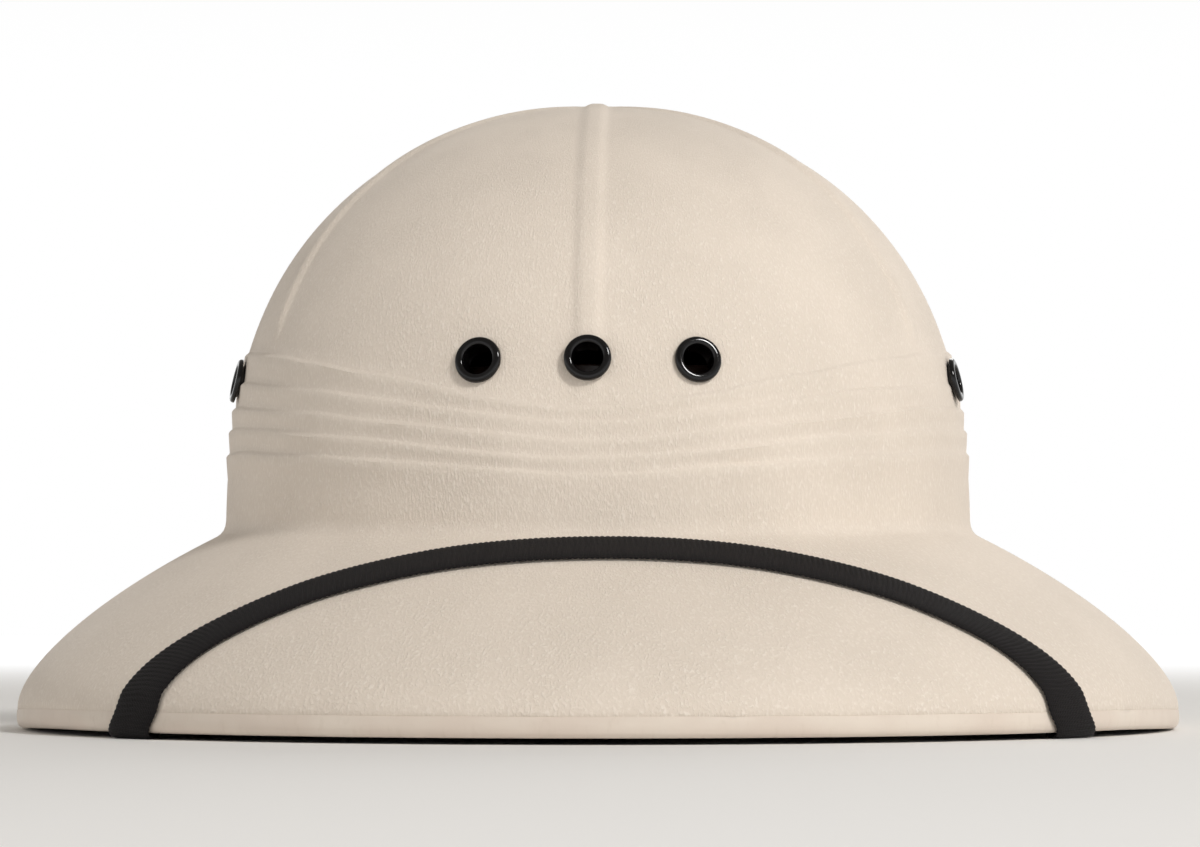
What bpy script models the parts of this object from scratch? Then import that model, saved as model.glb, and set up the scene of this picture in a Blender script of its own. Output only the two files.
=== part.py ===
"""Pith helmet: a pressed sun hat with its chin strap stowed over the front of the brim.

Metres, +Z up, the front of the hat towards -Y. It stands on z = 0, on the back half of
its rim and on the strap where that wraps the rim. Angles run around the hat from the
front (0) through +X (90 degrees) to the back (180 degrees).
"""
import math

import bmesh
import bpy
from mathutils import Matrix, Vector

MM = 0.001
DEG = math.pi / 180.0

# --- driving sizes -------------------------------------------------------------
WALL = 2.4 * MM                 # pressed fibre with its cloth
GAP = 0.3 * MM                  # between pieces that touch

# Plan ovals: half width, reach to the front and back, squareness, centre along Y.
CROWN_OVAL = dict(half=94.1 * MM, front=105.4 * MM, back=105.4 * MM,
                  square_front=2.15, square_back=2.15, centre=-14.5 * MM)
EDGE_OVAL = dict(half=145.3 * MM, front=157.2 * MM, back=191.0 * MM,
                 square_front=2.0, square_back=2.12, centre=-16.9 * MM)

# Crown profile: height of its oval section, rise above it, squareness up and across.
CROWN_FOOT = 41.0 * MM
CROWN_RISE = 116.3 * MM
RISE_POWER = 2.8
REACH_POWER = 1.95

# Brim profile: where it leaves the crown, how much of it is a straight slope.
ROOT_FRONT = 46.2 * MM
ROOT_SIDE = 49.0 * MM
SLOPE_FRONT = 0.49
SLOPE_BACK = 0.36
TURN_POWER = 2.1
FRONT_LIFT = 1.4 * MM           # the front of the rim stands on the strap that wraps it
LIFT_FULL = 56.0 * DEG          # up to this angle the lift is complete

# Folded binding around the rim.
BINDING_SKIN = 0.9 * MM
BINDING_TOP = 4.1 * MM
BINDING_LIP = 4.4 * MM
BINDING_ROUND = 0.8 * MM
BINDING_FLOOR = 1.0 * MM
JOGGLE_TOP = 4.9 * MM           # the shell's wall steps inward here to seat the binding
JOGGLE_FOOT = 4.45 * MM

# Six seam ribs from the apex down to the folds.
RIB_COUNT = 6
RIB_HEIGHT = 0.9 * MM
RIB_FOOT = 3.6 * MM             # half width where it meets the crown
RIB_CREST = 1.5 * MM            # half width of its flat top
PANEL_COLUMNS = 5               # columns of the mesh between two ribs

# Moulded folds of the band: height at the front, and rise towards the sides.
FOLDS = (
    ("first", 75.2 * MM, 21.0 * MM),
    ("second", 71.9 * MM, 15.5 * MM),
    ("third", 67.6 * MM, 13.5 * MM),
    ("fourth", 63.6 * MM, 12.0 * MM),
    ("fifth", 60.0 * MM, 9.5 * MM),
)
FOLD_HEIGHT = 0.7 * MM
FOLD_STEP = 0.6 * MM            # half height of the short face above each fold
FOLD_TAIL = 6.0 * MM            # the last fold dies away over this height
FOLD_SOFT = 0.12                # rounds the dip at the front and back
FOLD_FRONT = 0.45               # share of the relief that is left at the dip

CROWN_RINGS = 7
WALL_RING = 53.5 * MM
FILLET = (0.8 * MM, 1.6 * MM)  # one ring in the hollow between crown and brim
BRIM_STEPS = (0.05, 0.2, 0.4, 0.58, 0.73, 0.85, 0.93, 0.98, 1.0)

# Eyelets: name, angle around the hat, height of the centre, how far the cloth stands out there.
EYELETS = (
    ("eyelet_front_left", -14.6 * DEG, 86.3 * MM, 0.0),
    ("eyelet_front_centre", 0.0, 86.3 * MM, RIB_HEIGHT),
    ("eyelet_front_right", 14.6 * DEG, 86.3 * MM, 0.0),
    ("eyelet_side_left", -75.0 * DEG, 86.0 * MM, FOLD_HEIGHT),
    ("eyelet_side_right", 75.0 * DEG, 86.0 * MM, FOLD_HEIGHT),
)
EYELET_BORE = 3.5 * MM          # radii
EYELET_BARREL = 4.0 * MM
EYELET_HOLE = 4.35 * MM
EYELET_FLANGE = 5.5 * MM
FLANGE_DOME = 1.1 * MM
FLANGE_SEAT = 1.25 * MM         # the inner flange stands off the curved inner wall
EYELET_SIDES = 16

# Piping in the corner between the crown's wall and the underside of the brim.
PIPING_RADIUS = 0.9 * MM
PIPING_INSET = 3.7 * MM         # from the crown's oval
PIPING_DROP = 1.0 * MM          # below the brim's root

# Sweatband: its inner face in plan, held off the shell at four places.
BAND_OVAL = dict(half=83.0 * MM, front=91.0 * MM, back=90.5 * MM,
                 square_front=1.85, square_back=1.85, centre=-14.5 * MM)
BAND_SHIFT = 3.0 * MM           # it lies towards the wearer's left, as photographed
BAND_THICK = 1.4 * MM
BAND_FOOT = 46.0 * MM
BAND_HEIGHT = 40.0 * MM
BAND_LEAN = 2.0 * MM            # the top leans inward
PAD_WIDTH = 20.0 * MM
PAD_FOOT = 55.0 * MM
PAD_TOP = 73.0 * MM
PAD_CLEAR = 0.5 * MM            # from the inner wall, whose facets cut across
PADS = (("band_pad_front", 0.0), ("band_pad_right", 90.0 * DEG),
        ("band_pad_back", 180.0 * DEG), ("band_pad_left", -90.0 * DEG))

# Chin strap: a woven ribbon, flat on the brim, folded round the rim and drawn straight under
# the brim into the crown. Each row is a place of its centre line, from the middle of the
# front to one end.
STRAP_WIDTH = 11.0 * MM
STRAP_THICK = 1.1 * MM
STRAP_CROSSING = 45.6 * DEG     # between the strap and the rim
STRAP_SHIFT = 2.2 * DEG         # all of it lies a little to one side, as photographed
STRAP_TOP = (                   # angle, share from crown to rim, turn of the cross line to the rim
    (0.0, 0.14, 0.0),
    (9.5 * DEG, 0.165, 0.0),
    (18.7 * DEG, 0.24, 0.0),
    (27.2 * DEG, 0.37, 0.0),
    (33.9 * DEG, 0.52, 0.0),
    (39.7 * DEG, 0.71, 0.25),
    (43.1 * DEG, 0.85, 0.7),
    (44.9 * DEG, 0.945, 0.95),
    (45.6 * DEG, 0.985, 1.0),
)
STRAP_WRAP = (46.1 * DEG, 48.7 * DEG)
TAUT_STEPS = 8                  # sections of the straight stretch under the brim
STRAP_INSIDE = (                # angle, inset from the crown's oval, height
    (65.0 * DEG, 5.0 * MM, 45.9 * MM),
    (66.0 * DEG, 6.0 * MM, 47.4 * MM),
    (69.0 * DEG, 6.1 * MM, 54.0 * MM),
    (73.0 * DEG, 6.5 * MM, 66.0 * MM),
)

PARTS = bpy.data.collections.new("pith_helmet")
CUTTERS = bpy.data.collections.new("cutters")


# --- scene and materials --------------------------------------------------------
def clear_scene():
    for item in list(bpy.data.objects):
        bpy.data.objects.remove(item, do_unlink=True)
    for collection in (PARTS, CUTTERS):
        bpy.context.scene.collection.children.link(collection)


def finish_material(name, colour, roughness, metallic=0.0):
    material = bpy.data.materials.new(name)
    material.use_nodes = True
    shader = material.node_tree.nodes["Principled BSDF"]
    shader.inputs["Base Color"].default_value = (*colour, 1.0)
    shader.inputs["Roughness"].default_value = roughness
    shader.inputs["Metallic"].default_value = metallic
    return material


def add_object(name, mesh, material):
    item = bpy.data.objects.new(name, mesh)
    PARTS.objects.link(item)
    mesh.materials.append(material)
    return item


def add_form(name, form, material):
    """Turns a finished bmesh, its faces pointing out, into a named object."""
    bmesh.ops.recalc_face_normals(form, faces=form.faces)
    mesh = bpy.data.meshes.new(name)
    form.to_mesh(mesh)
    form.free()
    return add_object(name, mesh, material)


# --- the hat's form -------------------------------------------------------------
def signed_power(value, power):
    return math.copysign(abs(value) ** power, value)


def oval_point(oval, angle):
    end = "front" if math.cos(angle) > 0 else "back"
    power = 2.0 / oval["square_" + end]
    reach = oval[end]
    across = oval["half"] * signed_power(math.sin(angle), power)
    along = oval["centre"] - reach * signed_power(math.cos(angle), power)
    return Vector((across, along, 0.0))


def oval_outward(oval, angle):
    step = 0.01
    run = oval_point(oval, angle + step) - oval_point(oval, angle - step)
    return Vector((run.y, -run.x, 0.0)).normalized()


def smooth_step(value):
    value = min(max(value, 0.0), 1.0)
    return value * value * (3.0 - 2.0 * value)


def fold_line(height, rise, angle):
    side = math.sqrt(math.sin(angle) ** 2 + FOLD_SOFT ** 2) - FOLD_SOFT
    return height + rise * side


def fold_relief(angle):
    return FOLD_HEIGHT * (FOLD_FRONT + (1.0 - FOLD_FRONT) * smooth_step(2.5 * abs(math.sin(angle))))


def crown_scale(height):
    share = max(height - CROWN_FOOT, 0.0) / CROWN_RISE
    return max(1.0 - share ** RISE_POWER, 0.0) ** (1.0 / REACH_POWER)


def crown_point(angle, height):
    middle = Vector((0.0, CROWN_OVAL["centre"], 0.0))
    point = middle + (oval_point(CROWN_OVAL, angle) - middle) * crown_scale(height)
    point.z = height
    return point


def crown_normal(angle, height):
    turn = 0.01
    climb = 0.5 * MM
    around = crown_point(angle + turn, height) - crown_point(angle - turn, height)
    up = crown_point(angle, height + climb) - crown_point(angle, height - climb)
    return around.cross(up).normalized()


def rim_lift(angle):
    return FRONT_LIFT * smooth_step(math.cos(angle) / math.cos(LIFT_FULL))


def brim_point(angle, share):
    """A point of the brim's top: share 0 at the crown, 1 at the rim."""
    inner = oval_point(CROWN_OVAL, angle)
    outer = oval_point(EDGE_OVAL, angle)
    width = (outer - inner).length
    slope = SLOPE_BACK + (SLOPE_FRONT - SLOPE_BACK) * smooth_step(1.0 + math.cos(angle))
    root = ROOT_FRONT + (ROOT_SIDE - ROOT_FRONT) * math.sin(angle) ** 2
    edge = JOGGLE_TOP + rim_lift(angle)
    turn = root - edge - slope * width
    point = inner.lerp(outer, share)
    point.z = edge + slope * width * (1.0 - share)
    point.z += turn * max(1.0 - share ** TURN_POWER, 0.0) ** (1.0 / TURN_POWER)
    return point


def brim_normal(angle, share):
    turn = 0.01
    step = 0.002
    around = brim_point(angle + turn, share) - brim_point(angle - turn, share)
    low = max(share - step, 0.0)
    high = min(share + step, 1.0)
    inward = brim_point(angle, low) - brim_point(angle, high)
    return around.cross(inward).normalized()


# --- shell ----------------------------------------------------------------------
def column_layout():
    """Columns of the shell: (rib angle, offset across the rib, share of the panel)."""
    offsets = ((-RIB_FOOT, 0.0), (-RIB_CREST, 1.0), (RIB_CREST, 1.0), (RIB_FOOT, 0.0))
    columns = []
    for rib in range(RIB_COUNT):
        for offset, raised in offsets:
            columns.append((rib, offset, raised, 0.0))
        for column in range(1, PANEL_COLUMNS + 1):
            columns.append((rib, RIB_FOOT, 0.0, column / (PANEL_COLUMNS + 1)))
    return columns


def column_angle(column, scale):
    """Ribs keep their width, so their columns open out towards the apex."""
    rib, offset, _, share = column
    pitch = 2.0 * math.pi / RIB_COUNT
    radius = CROWN_OVAL["half"] * max(scale, 0.05)
    widest = 0.42 * pitch
    foot = min(RIB_FOOT / radius, widest)
    turn = foot * offset / RIB_FOOT
    return rib * pitch + turn + share * (pitch - 2.0 * foot)


def raised_point(angle, height, relief):
    return crown_point(angle, height) + crown_normal(angle, height) * relief


def shell_rings():
    """Rows of points from under the apex to the foot of the wall."""
    columns = column_layout()
    rings = []
    top_fold = FOLDS[0]
    for ring in range(1, CROWN_RINGS + 1):
        row = []
        for column in columns:
            angle = column_angle(column, 1.0)
            start = fold_line(top_fold[1], top_fold[2], angle) + FOLD_STEP
            low = math.asin(((start - CROWN_FOOT) / CROWN_RISE) ** (RISE_POWER / 2.0))
            lift = low + (0.5 * math.pi - low) * (1.0 - ring / (CROWN_RINGS + 1.0))
            height = CROWN_FOOT + CROWN_RISE * math.sin(lift) ** (2.0 / RISE_POWER)
            angle = column_angle(column, crown_scale(height))
            row.append(raised_point(angle, height, RIB_HEIGHT * column[2]))
        rings.append(row)
    for _, front, rise in FOLDS:
        for side, raised in ((FOLD_STEP, 0.0), (-FOLD_STEP, 1.0)):
            row = []
            for column in columns:
                angle = column_angle(column, 1.0)
                height = fold_line(front, rise, angle) + side
                row.append(raised_point(angle, height, raised * fold_relief(angle)))
            rings.append(row)
    last = FOLDS[-1]
    rings.append([raised_point(angle, fold_line(last[1], last[2], angle) - FOLD_TAIL, 0.0)
                  for angle in (column_angle(column, 1.0) for column in columns)])
    rings.append([crown_point(column_angle(column, 1.0), WALL_RING) for column in columns])
    for share in (None,) + BRIM_STEPS:
        row = []
        for column in columns:
            angle = column_angle(column, 1.0)
            if share is None:
                point = oval_point(CROWN_OVAL, angle) + oval_outward(CROWN_OVAL, angle) * FILLET[0]
                point.z = brim_point(angle, 0.0).z + FILLET[1]
            else:
                point = brim_point(angle, share)
            row.append(point)
        rings.append(row)
    seat = BINDING_SKIN + GAP
    for height in (JOGGLE_FOOT, BINDING_FLOOR + GAP):
        row = []
        for column in columns:
            angle = column_angle(column, 1.0)
            point = oval_point(EDGE_OVAL, angle) - oval_outward(EDGE_OVAL, angle) * seat
            point.z = height + rim_lift(angle)
            row.append(point)
        rings.append(row)
    return rings


def loft(rings, closed=False, apex=None):
    """Joins rows of points, each a closed loop, with quads; closed joins last to first."""
    form = bmesh.new()
    rows = [[form.verts.new(point) for point in ring] for ring in rings]
    pairs = list(zip(rows, rows[1:]))
    if closed:
        pairs.append((rows[-1], rows[0]))
    for upper, lower in pairs:
        for place, corner in enumerate(upper):
            after = (place + 1) % len(upper)
            form.faces.new((corner, lower[place], lower[after], upper[after]))
    if apex is not None:
        top = form.verts.new(apex)
        for place, corner in enumerate(rows[0]):
            form.faces.new((top, corner, rows[0][(place + 1) % len(rows[0])]))
    return form


def cap_ends(form, size):
    """Closes the first and the last row of a loft."""
    form.verts.ensure_lookup_table()
    form.faces.new(form.verts[:size])
    form.faces.new(form.verts[-size:])


def make_shell(material):
    apex = Vector((0.0, CROWN_OVAL["centre"], CROWN_FOOT + CROWN_RISE + RIB_HEIGHT))
    shell = add_form("shell", loft(shell_rings(), apex=apex), material)
    shell.data.shade_smooth()
    wall = shell.modifiers.new("wall", "SOLIDIFY")
    wall.thickness = WALL
    wall.offset = -1.0
    wall.use_even_offset = True
    return shell


# --- rim binding ----------------------------------------------------------------
def make_binding(material):
    inner = BINDING_SKIN + GAP + WALL + GAP
    full = inner + BINDING_SKIN
    profile = (
        (0.0, BINDING_ROUND), (0.0, BINDING_TOP), (BINDING_SKIN, BINDING_TOP),
        (BINDING_SKIN, BINDING_FLOOR), (inner, BINDING_FLOOR), (inner, BINDING_LIP),
        (full, BINDING_LIP), (full, BINDING_ROUND), (full - BINDING_ROUND, 0.0),
        (BINDING_ROUND, 0.0),
    )
    rings = []
    for inset, height in profile:
        row = []
        for column in column_layout():
            angle = column_angle(column, 1.0)
            point = oval_point(EDGE_OVAL, angle) - oval_outward(EDGE_OVAL, angle) * inset
            point.z = height + rim_lift(angle)
            row.append(point)
        rings.append(row)
    add_form("rim_binding", loft(rings, closed=True), material)


# --- eyelets --------------------------------------------------------------------
def eyelet_place(angle, height, proud):
    """The eyelet's axis is local Z, pointing out of the crown, from the cloth's face."""
    outward = crown_normal(angle, height)
    point = crown_point(angle, height) + outward * proud
    turn = Vector((0.0, 0.0, 1.0)).rotation_difference(outward)
    return Matrix.Translation(point) @ turn.to_matrix().to_4x4()


def eyelet_mesh(proud):
    """A turned ring: domed flange outside, barrel through the wall, rolled flange inside."""
    back = -(WALL + proud + FLANGE_SEAT)
    crest = 0.5 * (EYELET_BARREL + EYELET_FLANGE)
    profile = (
        (crest, GAP + FLANGE_DOME), (EYELET_FLANGE, GAP + 0.5 * FLANGE_DOME),
        (EYELET_FLANGE, GAP), (EYELET_BARREL, GAP), (EYELET_BARREL, back),
        (EYELET_FLANGE, back), (EYELET_FLANGE, back - 0.4 * FLANGE_DOME),
        (crest, back - FLANGE_DOME), (EYELET_BORE, back - 0.4 * FLANGE_DOME),
        (EYELET_BORE, GAP + 0.5 * FLANGE_DOME),
    )
    form = bmesh.new()
    corners = [form.verts.new((radius, 0.0, height)) for radius, height in profile]
    for corner, after in zip(corners, corners[1:] + corners[:1]):
        form.edges.new((corner, after))
    mesh = bpy.data.meshes.new("eyelet")
    form.to_mesh(mesh)
    form.free()
    return mesh


def make_eyelets(material, shell):
    for name, angle, height, proud in EYELETS:
        place = eyelet_place(angle, height, proud)
        mesh = eyelet_mesh(proud)
        eyelet = add_object(name, mesh, material)
        eyelet.matrix_world = place
        turned = eyelet.modifiers.new("turned", "SCREW")
        turned.steps = EYELET_SIDES
        turned.render_steps = EYELET_SIDES
        turned.use_merge_vertices = True
        turned.merge_threshold = 0.00001
        turned.use_smooth_shade = True
        bpy.ops.mesh.primitive_cylinder_add(vertices=EYELET_SIDES, radius=EYELET_HOLE, depth=20 * MM)
        cutter = bpy.context.object
        cutter.name = name + "_hole"
        cutter.matrix_world = place
        cutter.hide_render = True
        cutter.display_type = "WIRE"
        for collection in list(cutter.users_collection):
            collection.objects.unlink(cutter)
        CUTTERS.objects.link(cutter)
        hole = shell.modifiers.new(name, "BOOLEAN")
        hole.operation = "DIFFERENCE"
        hole.object = cutter


# --- piping ---------------------------------------------------------------------
def make_piping(material):
    curve = bpy.data.curves.new("opening_piping", "CURVE")
    curve.dimensions = "3D"
    curve.bevel_depth = PIPING_RADIUS
    curve.bevel_resolution = 1
    line = curve.splines.new("POLY")
    columns = column_layout()
    line.points.add(len(columns) - 1)
    for point, column in zip(line.points, columns):
        angle = column_angle(column, 1.0)
        place = oval_point(CROWN_OVAL, angle) - oval_outward(CROWN_OVAL, angle) * PIPING_INSET
        place.z = brim_point(angle, 0.0).z - PIPING_DROP
        point.co = (*place, 1.0)
    line.use_cyclic_u = True
    piping = bpy.data.objects.new("opening_piping", curve)
    PARTS.objects.link(piping)
    curve.materials.append(material)


# --- sweatband and the pads that hold it off the shell -----------------------------
def band_point(angle, height, depth=0.0):
    """A point of the band, depth out from its inner face."""
    lean = BAND_LEAN * (height - BAND_FOOT) / BAND_HEIGHT
    point = oval_point(BAND_OVAL, angle) + oval_outward(BAND_OVAL, angle) * (depth - lean)
    point.x += BAND_SHIFT
    point.z = height
    return point


def make_sweatband(material):
    top = BAND_FOOT + BAND_HEIGHT
    middle = 0.5 * (BAND_FOOT + top)
    corners = ((0.0, BAND_FOOT), (0.0, middle), (0.0, top),
               (BAND_THICK, top), (BAND_THICK, middle), (BAND_THICK, BAND_FOOT))
    turns = [2.0 * math.pi * step / 60 for step in range(60)]
    rings = [[band_point(angle, height, depth) for angle in turns] for depth, height in corners]
    add_form("sweatband", loft(rings, closed=True), material)


def make_pads(material):
    """Each pad fills the space between the band and the shell's inner wall."""
    for name, angle in PADS:
        rings = []
        half_turn = 0.5 * PAD_WIDTH / CROWN_OVAL["half"]
        for height in (PAD_FOOT, 0.5 * (PAD_FOOT + PAD_TOP), PAD_TOP):
            wall = []
            band = []
            for share in (-1.0, -0.5, 0.0, 0.5, 1.0):
                turn = angle + share * half_turn
                inward = crown_normal(turn, height) * (WALL + PAD_CLEAR)
                wall.append(crown_point(turn, height) - inward)
                band.append(band_point(turn, height, BAND_THICK + GAP))
            rings.append(wall + band[::-1])
        form = loft(rings)
        cap_ends(form, len(rings[0]))
        add_form(name, form, material)


# --- chin strap -----------------------------------------------------------------
def smooth_rows(rows, steps):
    """Catmull-Rom through rows of numbers, steps between each pair."""
    padded = [rows[0]] + list(rows) + [rows[-1]]
    result = []
    for first, second, third, fourth in zip(padded, padded[1:], padded[2:], padded[3:]):
        for step in range(steps):
            t = step / steps
            row = []
            for a, b, c, d in zip(first, second, third, fourth):
                row.append(0.5 * (2 * b + (c - a) * t + (2 * a - 5 * b + 4 * c - d) * t * t
                                  + (3 * b - a - 3 * c + d) * t ** 3))
            result.append(tuple(row))
    result.append(tuple(rows[-1]))
    return result


def brim_offset(angle, share, offset):
    """The angle and share of the brim's point nearest to this one moved by offset."""
    turn = 0.01
    step = 0.004
    low = max(share - step, 0.0)
    high = min(share + step, 1.0)
    around = (brim_point(angle + turn, share) - brim_point(angle - turn, share)) / (2.0 * turn)
    outward = (brim_point(angle, high) - brim_point(angle, low)) / (high - low)
    mixed = around.dot(outward)
    scale = around.length_squared * outward.length_squared - mixed * mixed
    near = offset.dot(around)
    far = offset.dot(outward)
    return (angle + (near * outward.length_squared - far * mixed) / scale,
            share + (far * around.length_squared - near * mixed) / scale)


def strap_top_sections(hand):
    """Three points across the ribbon's middle layer, with the face's direction."""
    mirrored = (-STRAP_TOP[1][0], STRAP_TOP[1][1], 0.0)
    route = [(hand * angle + STRAP_SHIFT, share, skew)
             for angle, share, skew in smooth_rows((mirrored,) + STRAP_TOP, 2)]
    sections = []
    lift = GAP + 0.5 * STRAP_THICK
    for place in range(2, len(route)):
        angle, share, skew = route[place]
        before = route[place - 1]
        after = route[min(place + 1, len(route) - 1)]
        run = brim_point(after[0], after[1]) - brim_point(before[0], before[1])
        across = run.cross(brim_normal(angle, share)).normalized() * hand
        along = brim_point(angle + 0.01, share) - brim_point(angle - 0.01, share)
        along.normalize()
        if along.dot(across) < 0.0:
            along.negate()
        cross_line = across.lerp(along / math.sin(STRAP_CROSSING), skew) * 0.5 * STRAP_WIDTH
        section = []
        for side in (-1.0, 0.0, 1.0):
            turn, reach = brim_offset(angle, share, cross_line * side)
            face = brim_normal(turn, reach)
            section.append((brim_point(turn, reach) + face * lift, face))
        sections.append(section)
    return sections


def turned_section(hand, angle, radius, place):
    """A section along the rim or the wall: place gives the point and face at an angle."""
    reach = 0.5 * STRAP_WIDTH / math.sin(STRAP_CROSSING) / radius
    return [place(hand * (angle - side * reach) + STRAP_SHIFT) for side in (-1.0, 0.0, 1.0)]


def strap_wrap_sections(hand):
    clear = GAP + 0.5 * STRAP_THICK
    full = 2.0 * (BINDING_SKIN + GAP) + WALL
    corner = 0.3 * MM
    path = (                    # inset from the rim, height, turn of the face in half circles
        (-clear, JOGGLE_FOOT, 0.0), (-clear, BINDING_ROUND, 0.0),
        (-corner, -corner, 0.25), (BINDING_ROUND, -clear, 0.5),
        (full, -clear, 0.5),
    )
    lengths = [0.0]
    for before, after in zip(path, path[1:]):
        lengths.append(lengths[-1] + math.dist(before[:2], after[:2]))
    down = Vector((0.0, 0.0, -1.0))
    sections = []
    for length, (inset, height, turn) in zip(lengths, path):
        def place(angle, inset=inset, height=height, turn=turn):
            outward = oval_outward(EDGE_OVAL, angle)
            point = oval_point(EDGE_OVAL, angle) - outward * inset
            point.z = height + rim_lift(angle)
            return point, outward * math.cos(turn * math.pi) + down * math.sin(turn * math.pi)
        angle = STRAP_WRAP[0] + (STRAP_WRAP[1] - STRAP_WRAP[0]) * length / lengths[-1]
        sections.append(turned_section(hand, angle, EDGE_OVAL["half"], place))
    return sections


def strap_inside_sections(hand):
    """From the edge of the opening up behind the sweatband."""
    sections = []
    for angle, inset, height in STRAP_INSIDE:
        def place(angle, inset=inset, height=height):
            outward = oval_outward(CROWN_OVAL, angle)
            point = oval_point(CROWN_OVAL, angle) - outward * inset
            point.z = height
            return point, -outward
        sections.append(turned_section(hand, angle, CROWN_OVAL["half"], place))
    return sections


def taut_sections(start, end):
    """The ribbon drawn straight from one section to another, its face turned down."""
    run = end[1][0] - start[1][0]
    sections = []
    for step in range(TAUT_STEPS + 1):
        share = smooth_step(step / TAUT_STEPS)
        points = [first.lerp(last, share) for (first, _), (last, _) in zip(start, end)]
        face = run.cross(points[2] - points[0]).normalized()
        if face.z > 0.0:
            face.negate()
        sections.append([(point, face) for point in points])
    return sections


def strap_half(hand):
    wrap = strap_wrap_sections(hand)
    inside = strap_inside_sections(hand)
    taut = taut_sections(wrap[-1], inside[0])
    return strap_top_sections(hand) + wrap[:-1] + taut + inside[1:]


def make_strap(material):
    left, right = [strap_half(hand) for hand in (-1.0, 1.0)]
    rings = []
    for section in left[:0:-1] + right:
        outside = [point + face * (0.5 * STRAP_THICK) for point, face in section]
        inside = [point - face * (0.5 * STRAP_THICK) for point, face in section]
        rings.append(outside + inside[::-1])
    form = loft(rings)
    cap_ends(form, len(rings[0]))
    add_form("chin_strap", form, material)


def main():
    clear_scene()
    cloth = finish_material("crown_cloth", (0.74, 0.66, 0.56), 0.85)
    enamel = finish_material("black_enamel", (0.012, 0.012, 0.013), 0.22, 0.6)
    vinyl = finish_material("brown_vinyl", (0.045, 0.026, 0.018), 0.35)
    black_vinyl = finish_material("black_vinyl", (0.012, 0.011, 0.011), 0.25)
    felt = finish_material("dark_felt", (0.03, 0.028, 0.026), 0.95)
    elastic = finish_material("black_elastic", (0.015, 0.014, 0.014), 0.8)
    shell = make_shell(cloth)
    make_eyelets(enamel, shell)
    make_binding(cloth)
    make_piping(black_vinyl)
    make_sweatband(vinyl)
    make_pads(felt)
    make_strap(elastic)


main()
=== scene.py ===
"""Looks of a pith helmet: a pressed sun hat with its chin strap stowed over the brim.

Metres, +Z up, the front of the hat towards -Y. Angles run around the hat from the front
(0) through +X (90 degrees) to the back (180 degrees). Each section is one piece, in the
order in which the hat is put together.
"""
import math

import bmesh
import bpy
from mathutils import Matrix, Vector, noise


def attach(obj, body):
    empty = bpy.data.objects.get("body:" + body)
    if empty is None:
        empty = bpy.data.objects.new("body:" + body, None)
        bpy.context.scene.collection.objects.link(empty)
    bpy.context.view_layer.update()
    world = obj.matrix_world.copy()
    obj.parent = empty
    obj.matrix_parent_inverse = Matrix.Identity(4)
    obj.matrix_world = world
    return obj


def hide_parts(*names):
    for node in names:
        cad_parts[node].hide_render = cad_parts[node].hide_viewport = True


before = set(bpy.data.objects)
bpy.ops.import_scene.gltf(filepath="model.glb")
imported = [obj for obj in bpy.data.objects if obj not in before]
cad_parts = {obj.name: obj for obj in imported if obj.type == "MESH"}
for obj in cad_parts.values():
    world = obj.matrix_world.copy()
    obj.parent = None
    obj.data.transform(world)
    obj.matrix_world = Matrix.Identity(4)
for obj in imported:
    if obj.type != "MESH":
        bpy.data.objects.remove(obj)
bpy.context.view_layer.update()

# --- pressed body ------------------------------------------------------------------
# One shell of pressed fibre: cream crepe cloth outside, smooth tan cloth under the brim,
# a brown coat inside the crown. Crown and brim leave the press in one piece, with six seam
# ribs, and five soft folds that stand for a wound scarf.
MM = 0.001
DEG = math.pi / 180.0
WALL = 2.4 * MM
GAP = 0.3 * MM                  # between pieces that touch

# Plan ovals: half width, reach to the front and back, squareness, centre along Y.
CROWN_OVAL = dict(half=94.1 * MM, front=105.4 * MM, back=105.4 * MM,
                  square_front=2.15, square_back=2.15, centre=-14.5 * MM)
EDGE_OVAL = dict(half=145.3 * MM, front=157.2 * MM, back=191.0 * MM,
                 square_front=2.0, square_back=2.12, centre=-16.9 * MM)

# Crown profile: height of its oval section, rise above it, squareness up and across.
CROWN_FOOT = 41.0 * MM
CROWN_RISE = 116.3 * MM
RISE_POWER = 2.8
REACH_POWER = 1.95

# Brim profile: where it leaves the crown, how much of it is a straight slope.
ROOT_FRONT = 46.2 * MM
ROOT_SIDE = 49.0 * MM
SLOPE_FRONT = 0.49
SLOPE_BACK = 0.36
TURN_POWER = 2.1
FRONT_LIFT = 1.4 * MM           # the front of the rim stands on the strap that wraps it
LIFT_FULL = 56.0 * DEG
EDGE_HEIGHT = 4.9 * MM
SHOULDER_HEIGHT = 4.5 * MM      # the wall steps inward below this, to seat the binding
BINDING_SEAT = 1.2 * MM
CLOTH_TUCK = 0.2 * MM           # the cover turns in under the binding's edge by this much
BODY_FLOOR = 1.3 * MM

RIB_COUNT = 6
RIB_HEIGHT = 0.9 * MM
RIB_FOOT = 3.7 * MM             # half width where a rib meets the crown
RIB_CREST = 0.9 * MM            # half width of its top
RIB_FADE = 9.0 * MM             # height over which a rib dies away above the folds
RIB_HUB = 8.0 * MM              # radius of the round that the ribs run into at the apex
RIB_PITCH = 2.0 * math.pi / RIB_COUNT
RIB_WIDEST = 0.42 * RIB_PITCH   # near the apex the ribs' columns may take up this much

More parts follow.
